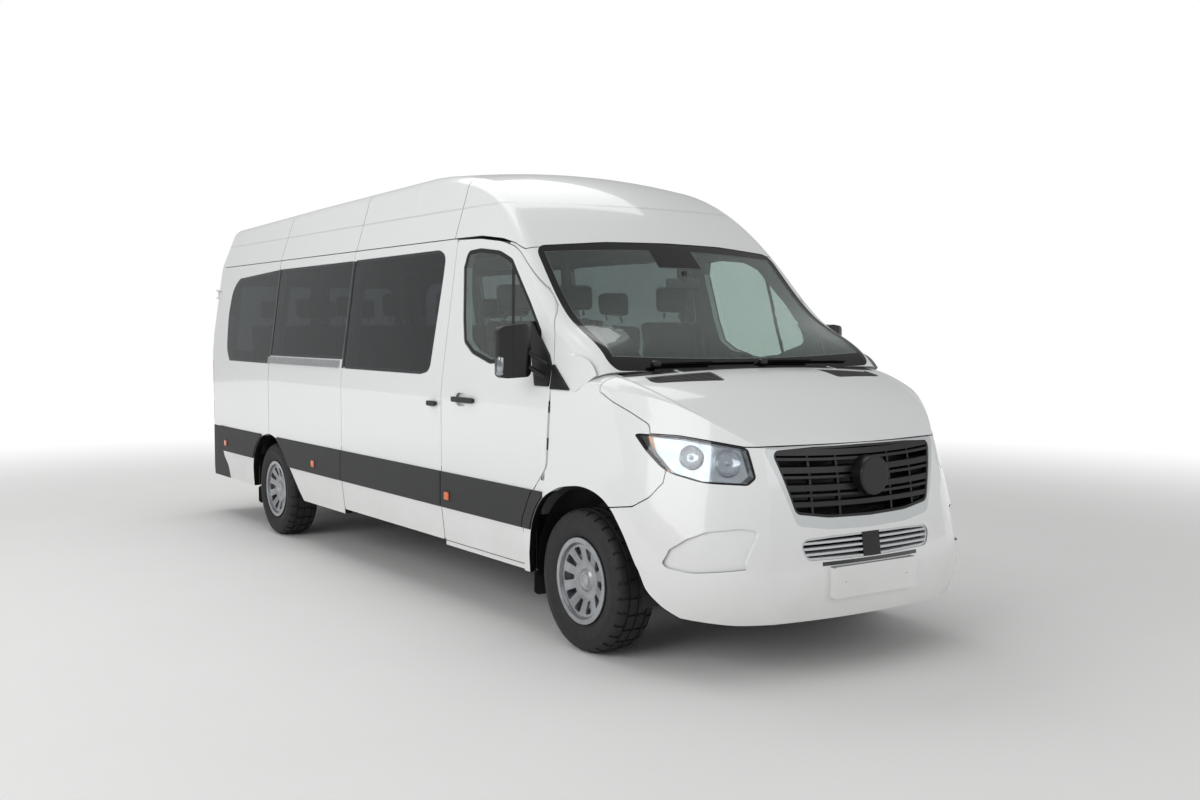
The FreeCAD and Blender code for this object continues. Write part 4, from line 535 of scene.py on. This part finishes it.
sealed = inner_paint.node_tree
coat = sealed.nodes["Principled BSDF"].inputs["Base Color"]
height = add(sealed, "ShaderNodeSeparateXYZ", {"Vector": place_of(sealed)})
under = add(sealed, "ShaderNodeMath", {0: height.outputs["Z"], 1: FLOOR_Z}, operation="LESS_THAN")
tone = add(sealed, "ShaderNodeMix",
           {"Factor": under.outputs[0], A: coat.links[0].from_socket, B: linear("141415")}, data_type="RGBA")
sealed.links.new(tone.outputs[MIXED], coat)
mirror_face, tree, shader = finish_named("silvered_mirror_glass", Metallic=1.0, Roughness=0.02)
place = place_of(tree)
mottle_noise = add(tree, "ShaderNodeTexNoise", {"Vector": place, "Scale": per_mm(60), "Detail": 3.0})
tone = add(tree, "ShaderNodeMix",
           {"Factor": mottle_noise.outputs["Fac"], A: linear("DDE1E4"), B: linear("E6E9EB")}, data_type="RGBA")
tree.links.new(tone.outputs[MIXED], shader.inputs["Base Color"])
print("made", mirror_face.name)

# %% [markdown]
# ## Seat cloth
# The seats wear a dark grey flat-woven cloth. Its ribs are drawn wider than life, so that they still show
# through the windows. Two crossed waves make the weave, on the piece's own place.

# %% Woven seat cloth
seat_cloth, tree, shader = finish_named("flat_woven_seat_cloth", Roughness=0.85, Sheen_Weight=0.3,
                                        Sheen_Roughness=0.5)
place = place_of(tree)
warp = add(tree, "ShaderNodeTexWave",
           {"Vector": place, "Scale": per_mm(20), "Distortion": 0.5}, bands_direction="Y")
weft = add(tree, "ShaderNodeTexWave",
           {"Vector": place, "Scale": per_mm(20), "Distortion": 0.5}, bands_direction="Z")
weave = add(tree, "ShaderNodeMath", {0: warp.outputs["Fac"], 1: weft.outputs["Fac"]}, operation="MULTIPLY")
tone = add(tree, "ShaderNodeMix",
           {"Factor": weave.outputs[0], A: linear("17181B"), B: linear("2A2C31")}, data_type="RGBA")
bump = add(tree, "ShaderNodeBump", {"Height": weave.outputs[0], "Strength": 0.4, "Distance": 0.001})
tree.links.new(tone.outputs[MIXED], shader.inputs["Base Color"])
tree.links.new(bump.outputs["Normal"], shader.inputs["Normal"])
print("made", seat_cloth.name)

# %% [markdown]
# ## Handing the finishes out
# Each CAD node takes the finish of the real part it stands for. The list names every node once, by the
# start of its name, so that left and right parts share a line.

# %% Assign the finishes
FINISHES = {
    "roof": white_enamel, "side_wall": white_enamel, "sliding_door": white_enamel,
    "front_door": white_enamel, "fender": white_enamel, "bonnet": white_enamel,
    "front_bumper": white_enamel, "rear_door": white_enamel, "cab_frame": white_enamel,
    "side_glass": privacy_glass, "rear_door_glass": privacy_glass,
    "front_door_glass": door_glass, "windscreen": screen_glass,
    "front_door_trim": band_plastic, "side_trim": band_plastic, "rear_bumper": band_plastic,
    "mirror": black_abs, "mirror_glass": mirror_face, "cowl": black_abs, "bonnet_vents": black_abs,
    "grille_frame": silver_abs, "grille": black_abs, "slide_rail": satin_rail,
    "headlamps": bright_bowl, "headlamp_lenses": lens_clear, "tail_lamps": tail_acrylic,
    "body_frame": inner_paint, "floor_pan": floor_vinyl, "dashboard": dash_plastic,
    "steering_wheel": wheel_foam, "front_seats": seat_cloth, "rear_seats": seat_cloth,
    "seat_frames": chassis_paint, "chassis": chassis_paint, "front_subframe": chassis_paint,
    "engine": cast_metal, "rear_axle": cast_metal, "knuckle": cast_metal,
    "fuel_tank": tank_plastic, "exhaust": pipe_steel, "mud_flaps": flap_rubber,
    "tyre": tyre_rubber, "rim": wheel_silver,
}
for name, piece in nodes.items():
    key = max((k for k in FINISHES if name == k or name.startswith(k + "_")), key=len)
    piece.data.materials.clear()
    piece.data.materials.append(FINISHES[key])
print("finished", len(nodes), "nodes")

# %% [markdown]
# ## Hand tools for new pieces
# Every added piece starts as one of Blender's primitives and is shaped with edit-mode tools and modifiers.
# `settle` bakes its place into the mesh, so a finished piece sits at the origin, as the CAD nodes do.

# %% Tools for pieces
SHARP = math.radians(35)
SIDES = (("left", 1), ("right", -1))


def only(piece):
    """Select this piece alone and make it active."""
    bpy.ops.object.select_all(action="DESELECT")
    piece.select_set(True)
    bpy.context.view_layer.objects.active = piece


def applied(piece, kind, **settings):
    """Add one modifier, set it and apply it."""
    only(piece)
    modifier = piece.modifiers.new(kind.lower(), kind)
    for key, value in settings.items():
        setattr(modifier, key, value)
    bpy.ops.object.modifier_apply(modifier=modifier.name)
    return piece


def block(low, high, round_mm):
    """A box between two corners in millimetres, its edges rounded."""
    bpy.ops.object.select_all(action="DESELECT")
    bpy.ops.mesh.primitive_cube_add(size=1.0)
    piece = bpy.context.object
    piece.location = [(a + b) / 2 * MM for a, b in zip(low, high)]
    piece.scale = [(b - a) * MM for a, b in zip(low, high)]
    bpy.ops.object.transform_apply()
    return applied(piece, "BEVEL", width=round_mm * MM, segments=3)


def spun(points, steps):
    """A profile of (radius, y) points in millimetres, drawn point by point and spun round the Y axis."""
    bpy.ops.object.select_all(action="DESELECT")
    bpy.ops.mesh.primitive_plane_add(size=0.01)
    piece = bpy.context.object
    bpy.ops.object.mode_set(mode="EDIT")
    bpy.ops.mesh.merge(type="CENTER")
    bpy.ops.transform.translate(value=(0.0, points[0][1] * MM, points[0][0] * MM))
    for a, b in zip(points, points[1:]):
        step = (0.0, (b[1] - a[1]) * MM, (b[0] - a[0]) * MM)
        bpy.ops.mesh.extrude_region_move(TRANSFORM_OT_translate={"value": step})
    bpy.ops.mesh.select_all(action="SELECT")
    bpy.ops.mesh.spin(steps=steps, angle=2 * math.pi, center=(0, 0, 0), axis=(0, 1, 0))
    bpy.ops.mesh.select_all(action="SELECT")
    bpy.ops.mesh.remove_doubles(threshold=0.00001)
    bpy.ops.mesh.normals_make_consistent(inside=False)
    bpy.ops.mesh.select_all(action="DESELECT")
    bpy.ops.object.mode_set(mode="OBJECT")
    return piece


def copied(piece, turn=None, move=(0.0, 0.0, 0.0), stretch=(1.0, 1.0, 1.0)):
    """A copy with a mesh of its own, stretched, turned and moved (metres) within that mesh."""
    double = bpy.data.objects.new(piece.name + "_copy", piece.data.copy())
    bpy.context.scene.collection.objects.link(double)
    place = Matrix.Translation(move) @ (turn or Matrix()) @ Matrix.Diagonal((*stretch, 1.0))
    double.data.transform(place)
    if place.determinant() < 0:
        double.data.flip_normals()
    return double


def joined(pieces):
    """Make one object of several; the first gives its name."""
    bpy.ops.object.select_all(action="DESELECT")
    for piece in pieces:
        piece.select_set(True)
    bpy.context.view_layer.objects.active = pieces[0]
    bpy.ops.object.join()
    return pieces[0]


def on_side(piece, sign):
    """The piece where it is for the left side (1), or at the same place on the right (-1)."""
    piece.data.transform(Matrix.Diagonal((1.0, float(sign), 1.0, 1.0)))
    return piece


def settle(piece, name, finish, body):
    """Bake the place into the mesh, name the piece, give it its finish and let it ride on its body."""
    only(piece)
    bpy.ops.object.transform_apply()
    bpy.ops.object.shade_smooth_by_angle(angle=SHARP)
    piece.name = name
    piece.data.materials.clear()
    piece.data.materials.append(finish)
    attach(piece, body)
    return piece


print("tools ready")

# %% [markdown]
# ## Seats
# A seat is three foam pads under one cloth: a cushion, a back that leans seven degrees and a headrest. Each
# pad is modelled once: a rounded block, remeshed and blown up as cloth until it crowns, then smoothed. The
# cushion and the back are sewn down along two channels. Every seat is a copy of the three, with the cushion
# and the back stretched to its own width.

# %% Three pads
PRESSURE, SIM_FRAMES = 4.0, 20
# How far out a channel runs from the seat's middle, how deep it is and how wide (mm)
CHANNEL, CHANNEL_DEPTH, CHANNEL_WIDTH = 118, 6.0, 10.0


def pad(low, high, lean, round_mm, voxel_mm, cap_mm, channels):
    """A foam pad under cloth: blown up by no more than cap_mm, with stitched channels at these y (mm)."""
    piece = block(low, high, round_mm)
    piece.data.transform(Matrix.Rotation(lean, 4, "Y"))
    applied(piece, "REMESH", mode="VOXEL", voxel_size=voxel_mm * MM)
    rest = [v.co.copy() for v in piece.data.vertices]
    cloth = piece.modifiers.new("cloth", "CLOTH")
    cloth.settings.use_pressure = True
    cloth.settings.uniform_pressure_force = PRESSURE
    cloth.settings.effector_weights.gravity = 0.0
    for frame_number in range(1, SIM_FRAMES + 1):
        bpy.context.scene.frame_set(frame_number)
    only(piece)
    bpy.ops.object.modifier_apply(modifier="cloth")
    bpy.context.scene.frame_set(1)
    for vertex, start in zip(piece.data.vertices, rest):
        push = vertex.co - start
        if push.length > cap_mm * MM:
            vertex.co = start + push.normalized() * cap_mm * MM
    applied(piece, "SUBSURF", levels=1, render_levels=1)
    for vertex in piece.data.vertices:
        for y in channels:
            sink = CHANNEL_DEPTH * MM * math.exp(-((abs(vertex.co.y) / MM - y) / CHANNEL_WIDTH) ** 2)
            vertex.co -= vertex.normal * sink
    return piece


SEAT_HALF = 207
cushion = pad((-34, -SEAT_HALF, -104), (474, SEAT_HALF, -4), lean=0.0,
              round_mm=32, voxel_mm=20, cap_mm=12, channels=(CHANNEL,))
back = pad((-44, -SEAT_HALF, 8), (40, SEAT_HALF, 596), lean=-0.124,
           round_mm=34, voxel_mm=20, cap_mm=12, channels=(CHANNEL,))
headrest = pad((-34, -117, 4), (32, 117, 160), lean=-0.05,
               round_mm=30, voxel_mm=12, cap_mm=9, channels=())
print("pads", [len(p.data.polygons) for p in (cushion, back, headrest)])

# %% [markdown]
# The table gives the rows: where the seat stands, how high its cushion is, how tall and how wide it is.

# %% Every seat from the three pads
PLAIN_WIDTH, PLAIN_BACK = 430, 600
BACK_AHEAD, REST_BEHIND, REST_ABOVE = 36, 40, 30
REAR_ROWS = (480, -340, -1160, -1980, -2800)
REAR_COLUMNS = (-615, -180, 615)
# Columns: group, x, y, height of the cushion's top, height of the back, width (mm)
SEATS = [("rear_seats", x, y, 1050, PLAIN_BACK, PLAIN_WIDTH) for x in REAR_ROWS for y in REAR_COLUMNS]
SEATS += [("front_seats", 1290, y, 1110, 560, width) for y, width in ((500, 520), (-225, 400), (-640, 400))]
for count, (group, x, y, top, tall, width) in enumerate(SEATS):
    wide = width / PLAIN_WIDTH
    stands = Vector((x, y, top)) * MM
    upright = stands + Vector((BACK_AHEAD, 0, 0)) * MM
    over = stands + Vector((-REST_BEHIND, 0, tall + REST_ABOVE)) * MM
    parts = [copied(cushion, move=stands, stretch=(1.0, wide, 1.0)),
             copied(back, move=upright, stretch=(1.0, wide, tall / PLAIN_BACK)),
             copied(headrest, move=over)]
    seat = settle(joined(parts), "seat_pads_%02d" % (count + 1), seat_cloth, "body")
    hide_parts(group)
for used in (cushion, back, headrest):
    bpy.data.objects.remove(used)
print("seats", len(SEATS))

# %% [markdown]
# ## Tyres
# Grooves run round the tread between its ribs. Ribs and shoulders are cut across at even distances, by
# choosing the faces between two spin steps and pushing them inwards.

# %% One tyre, four times
AXLES = {"front": 2.4135, "rear": -1.9115}
HALF_TRACK, HUB_Z = 0.855, 0.356
# Columns: radius and y (mm) of one half of the profile, from the bead to the tread's middle
TYRE_HALF = [(206, 84), (222, 97), (250, 109), (281, 116), (298, 117), (303, 114), (318, 113), (338, 105),
             (347, 94), (353, 82), (355, 66), (355, 59), (347, 57), (347, 50), (356, 48), (356, 6), (348, 4)]
profile = TYRE_HALF + [(r, -y) for r, y in reversed(TYRE_HALF)]
STEPS, SHOULDER_EVERY, RIB_EVERY = 150, 5, 6
# How far from the middle the shoulder's and the rib's cuts lie (mm)
SHOULDER_FROM, SHOULDER_TO, RIB_FROM, RIB_TO = 59, 104, 10, 46
TREAD_FOOT, CUT_DEPTH = 338, 7
tyre = spun(profile, STEPS)
for face in tyre.data.polygons:
    across = abs(face.center.y) / MM
    radius = math.hypot(face.center.x, face.center.z) / MM
    turn = int((math.atan2(face.center.z, face.center.x) / (2 * math.pi) + 1.0) * STEPS)
    staggered = 0 if face.center.y > 0 else 2
    shoulder = SHOULDER_FROM < across < SHOULDER_TO and turn % SHOULDER_EVERY == staggered
    rib = RIB_FROM < across < RIB_TO and turn % RIB_EVERY == 3
    face.select = radius > TREAD_FOOT and (shoulder or rib)
only(tyre)
bpy.context.tool_settings.mesh_select_mode = (False, False, True)
bpy.ops.object.mode_set(mode="EDIT")
bpy.ops.mesh.extrude_region_shrink_fatten(TRANSFORM_OT_shrink_fatten={"value": -CUT_DEPTH * MM})
bpy.ops.object.mode_set(mode="OBJECT")
bpy.context.tool_settings.mesh_select_mode = (True, False, False)
for axle, x in AXLES.items():
    for side, sign in SIDES:
        piece = copied(tyre, move=(x, sign * HALF_TRACK, HUB_Z))
        corner = "%s_%s" % (axle, side)
        settle(piece, "treaded_tyre_" + corner, tyre_rubber, "wheel_" + corner)
        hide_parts("tyre_" + corner)
bpy.data.objects.remove(tyre)
print("tyre faces", len(piece.data.polygons))

# %% [markdown]
# ## Wheel centres
# The hubcap's middle is a small plain dome inside a bright ring.

# %% Dome and ring on each hubcap
dome = spun([(0.5, 81), (18, 79), (24, 76), (27, 76), (29, 79), (34, 79), (36, 74)], 48)
for axle, x in AXLES.items():
    for side, sign in SIDES:
        piece = copied(dome, move=(x, sign * HALF_TRACK, HUB_Z), stretch=(1.0, float(sign), 1.0))
        corner = "%s_%s" % (axle, side)
        settle(piece, "hubcap_dome_" + corner, satin_rail, "wheel_" + corner)
bpy.data.objects.remove(dome)
print("wheel centres done")

# %% [markdown]
# ## Arch liners
# Behind each arch hangs a black moulded liner that keeps spray off the body. It is a tube, cut off just below
# its middle and stretched to the arch, with a rolled lip at its outer edge. A flat splash plate closes the
# gap behind the wheel.

# %% Four arch liners
FOOT = -0.1
PLATE_LOW, PLATE_HIGH, PLATE_THICK = (700, 345), (944, 605), 12
liner = spun([(1000, 300), (1000, 60), (1004, 20), (1010, 0), (1014, 6), (1006, 60), (1003, 300)], 72)
only(liner)
bpy.ops.object.mode_set(mode="EDIT")
bpy.ops.mesh.select_all(action="SELECT")
bpy.ops.mesh.bisect(plane_co=(0, 0, FOOT), plane_no=(0, 0, 1), clear_inner=True)
bpy.ops.object.mode_set(mode="OBJECT")
# Columns: name, x, half length, height above the hub and outer y (m) of the liner, x of its plate (mm)
LINERS = (("front", 2.455, 0.462, 0.462, 0.945, 1960), ("rear", -1.872, 0.430, 0.440, 0.940, -2350))
for axle, x, half, top, outer, plate_x in LINERS:
    for side, sign in SIDES:
        piece = copied(liner, move=(x, sign * outer, HUB_Z), stretch=(half, -float(sign), top))
        plate = on_side(block((plate_x, *PLATE_LOW), (plate_x + PLATE_THICK, *PLATE_HIGH), 4), sign)
        settle(joined([piece, plate]), "arch_liner_%s_%s" % (axle, side), black_abs, "body")
bpy.data.objects.remove(liner)
print("liners done")

# %% [markdown]
# ## Wipers
# Two wipers lie along the foot of the screen. A strip is laid on the glass with a shrinkwrap, then thickened,
# once for the rubber blade and once, further out, for the sprung arm over it.

# %% Blades and arms
SCREEN_LEAN, SCREEN_FOOT_X, STRIP_CUTS = math.radians(58), 2.62, 20


def strip_on_screen(y0, y1, z, tall_mm, above_mm, thick_mm):
    """A strip along the screen's foot from y0 to y1 (mm), laid on the glass and thickened."""
    bpy.ops.object.select_all(action="DESELECT")
    bpy.ops.mesh.primitive_plane_add(size=1.0, rotation=(0, SCREEN_LEAN, 0))
    piece = bpy.context.object
    bpy.ops.object.transform_apply()
    piece.scale = (tall_mm * MM, (y1 - y0) * MM, tall_mm * MM)
    piece.location = (SCREEN_FOOT_X, (y0 + y1) / 2 * MM, z * MM)
    bpy.ops.object.transform_apply()
    bpy.ops.object.mode_set(mode="EDIT")
    bpy.ops.mesh.select_all(action="SELECT")
    bpy.ops.mesh.subdivide(number_cuts=STRIP_CUTS)
    bpy.ops.object.mode_set(mode="OBJECT")
    applied(piece, "SHRINKWRAP", target=nodes["windscreen"], wrap_method="NEAREST_SURFACEPOINT",
            wrap_mode="ABOVE_SURFACE", offset=above_mm * MM)
    return applied(piece, "SOLIDIFY", thickness=thick_mm * MM, offset=0.0)


# Columns: side, from y, to y, height of the blade (mm)
WIPERS = (("right", -640, 20, 1462), ("left", 55, 690, 1462))
for side, y0, y1, z in WIPERS:
    blade = strip_on_screen(y0, y1, z, tall_mm=16, above_mm=10, thick_mm=8)
    arm = strip_on_screen(y0, (y0 + y1) / 2 + 30, z - 8, tall_mm=12, above_mm=24, thick_mm=8)
    boss = block((2590, y0 - 22, 1415), (2632, y0 + 22, 1447), 10)
    settle(joined([blade, arm, boss]), "wiper_" + side, black_abs, "body")
print("wipers done")

# %% [markdown]
# ## Small lamps
# Three amber markers sit in the black band on each side, the front one on the door's stretch of it. Every
# mirror carries a bright indicator in its lower outer corner.

# %% Side markers and mirror indicators
# Amber acrylic with fine upright ribs
amber, tree, shader = finish_named("amber_marker_acrylic", Roughness=0.12, IOR=1.49, Coat_Weight=0.5)
place = place_of(tree)
ribs = add(tree, "ShaderNodeTexWave", {"Vector": place, "Scale": per_mm(30)}, bands_direction="X")
tone = add(tree, "ShaderNodeMix",
           {"Factor": ribs.outputs["Fac"], A: linear("E0571A"), B: linear("F0782C")}, data_type="RGBA")
tree.links.new(tone.outputs[MIXED], shader.inputs["Base Color"])
# Columns: x of the marker (mm), the body that carries it on the left and on the right
MARKERS = ((-2977, "body", "body"), (-1000, "body", "body"), (1084, "front_door_left", "front_door_right"))
for number, (x, *bodies) in enumerate(MARKERS):
    for (side, sign), body in zip(SIDES, bodies):
        rim = on_side(block((x - 34, 1004, 606), (x + 34, 1013, 666), 5), sign)
        settle(rim, "marker_seat_%d_%s" % (number + 1, side), black_abs, body)
        cover = on_side(block((x - 27, 1006, 612), (x + 27, 1018, 660), 9), sign)
        settle(cover, "side_marker_%d_%s" % (number + 1, side), amber, body)
for side, sign in SIDES:
    cover = on_side(block((2004, 1172, 1366), (2052, 1206.5, 1466), 12), sign)
    settle(cover, "mirror_indicator_" + side, bright_bowl, "front_door_" + side)
print("markers", 2 * len(MARKERS))

# %% [markdown]
# ## Inside the headlamps
# Behind the clear lens stand two bright dishes. A ray sent back from ahead of the nose finds where the lens
# is and which way it faces there, and the dish is laid just behind it.

# %% Reflector dishes
dish = spun([(64, 0), (60, -2), (57, 3), (40, 17), (20, 22), (14, 22), (13, 10), (8, 6), (0.5, 5)], 40)
# Columns: y and z (mm) of the dish, its size beside the first
DISHES = ((694, 1004, 1.0), (806, 1024, 0.86))
AHEAD_X, BEHIND_LENS, FLAT = 3.6, 0.010, 0.62
shell_ahead = nodes["headlamp_lenses"]
for side, sign in SIDES:
    for number, (y, z, size) in enumerate(DISHES):
        start = Vector((AHEAD_X, sign * y * MM, z * MM))
        found, spot, normal, _ = shell_ahead.ray_cast(start, Vector((-1, 0, 0)))
        turn = normal.to_track_quat("-Y", "Z").to_matrix().to_4x4()
        piece = copied(dish, turn=turn, move=spot - normal * BEHIND_LENS, stretch=(size, FLAT, size))
        settle(piece, "lamp_dish_%d_%s" % (number + 1, side), bright_bowl, "body")
bpy.data.objects.remove(dish)
print("dishes", 2 * len(DISHES), "lens found", found)

# %% [markdown]
# ## Cab and rear details
# A driver's view mirror hangs from the screen. At the back there is the usual handle and a lamp bar for
# the plate, neither of which the photograph shows.

# %% Inner mirror, rear handle and lamp bar
stem = block((2000, -12, 1862), (2026, 12, 1925), 6)
head = block((1985, -115, 1815), (2010, 115, 1880), 12)
settle(joined([head, stem]), "inner_mirror", black_abs, "body")
pull = block((-3480.5, -74, 1010), (-3440, 74, 1052), 9)
settle(pull, "rear_handle", black_abs, "rear_door_right")
bar = block((-3478, 160, 880), (-3438, 640, 925), 9)
settle(bar, "plate_lamp_bar", black_abs, "rear_door_left")
print("details done")

# %% [markdown]
# ## Floor and light
# A pale floor fades into the white background far away. Of three broad soft lights one hangs over the roof,
# one stands beside the vehicle and one ahead of it, as in the light tents that vehicles are photographed in.
# Glass and paint then show long soft shapes.

# %% Floor
FADE_FROM, FADE_TO = 4.0, 12.0

bpy.ops.object.select_all(action="DESELECT")
bpy.ops.mesh.primitive_plane_add(size=60.0, location=(0, 0, -0.001))
floor = bpy.context.object
floor.name = "studio_floor"
floor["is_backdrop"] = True
floor_white, tree, shader = finish_named("studio_floor_paint", Roughness=0.9, Emission_Color=linear("FFFFFF"))
place = place_of(tree)
mottle = add(tree, "ShaderNodeTexNoise", {"Vector": place, "Scale": 1.5, "Detail": 3.0})
tone = add(tree, "ShaderNodeMix",
           {"Factor": mottle.outputs["Fac"], A: linear("F4F4F3"), B: linear("F8F8F7")}, data_type="RGBA")
away = add(tree, "ShaderNodeVectorMath", {0: place}, operation="LENGTH")
fade = add(tree, "ShaderNodeMapRange",
           {"Value": away.outputs["Value"], "From Min": FADE_FROM, "From Max": FADE_TO},
           interpolation_type="SMOOTHSTEP")
ground = add(tree, "ShaderNodeMix",
             {"Factor": fade.outputs[0], A: tone.outputs[MIXED], B: linear("000000")}, data_type="RGBA")
tree.links.new(ground.outputs[MIXED], shader.inputs["Base Color"])
tree.links.new(fade.outputs[0], shader.inputs["Emission Strength"])
floor.data.materials.append(floor_white)
print("floor", tuple(round(v, 1) for v in floor.dimensions))

# %% Lights and world
def soft_light(name, where, toward, width, height, watts):
    """A rectangular light of this size (metres) that stands at one point and faces another."""
    data = bpy.data.lights.new(name, "AREA")
    data.shape = "RECTANGLE"
    data.size, data.size_y, data.energy = width, height, watts
    lamp = bpy.data.objects.new(name, data)
    bpy.context.scene.collection.objects.link(lamp)
    lamp.location = where
    lamp.rotation_mode = "QUATERNION"
    lamp.rotation_quaternion = (Vector(toward) - Vector(where)).to_track_quat("-Z", "Y")


soft_light("overhead", (-2.6, 0.0, 6.5), (-2.0, 0.0, 0.0), 7.0, 5.0, 170)
soft_light("right_side", (3.0, -8.5, 4.5), (0.0, 0.0, 1.0), 9.0, 3.5, 260)
soft_light("front", (9.5, 3.0, 4.0), (2.5, 0.0, 1.2), 6.0, 3.5, 85)
world = bpy.data.worlds.new("studio")
bpy.context.scene.world = world
world.use_nodes = True
tree = world.node_tree
background = tree.nodes["Background"]
seen = add(tree, "ShaderNodeLightPath")
direct = add(tree, "ShaderNodeMath",
             {0: seen.outputs["Is Camera Ray"], 1: seen.outputs["Is Transmission Ray"]}, operation="MAXIMUM")
power = add(tree, "ShaderNodeMapRange", {"Value": direct.outputs[0], "To Min": 0.42, "To Max": 1.0})
background.inputs["Color"].default_value = (1.0, 1.0, 1.0, 1.0)
tree.links.new(power.outputs[0], background.inputs["Strength"])
bpy.context.scene.view_settings.view_transform = "Standard"
print("lights", len(bpy.data.lights))

# %% [markdown]
# ## Finish
# Last the size of the dressed vehicle's box is printed. The dressed vehicle must stay inside the frame it
# was built on.

# %% Sizes and finish
low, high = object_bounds()
print("dressed box", [round(v, 3) for v in high - low])
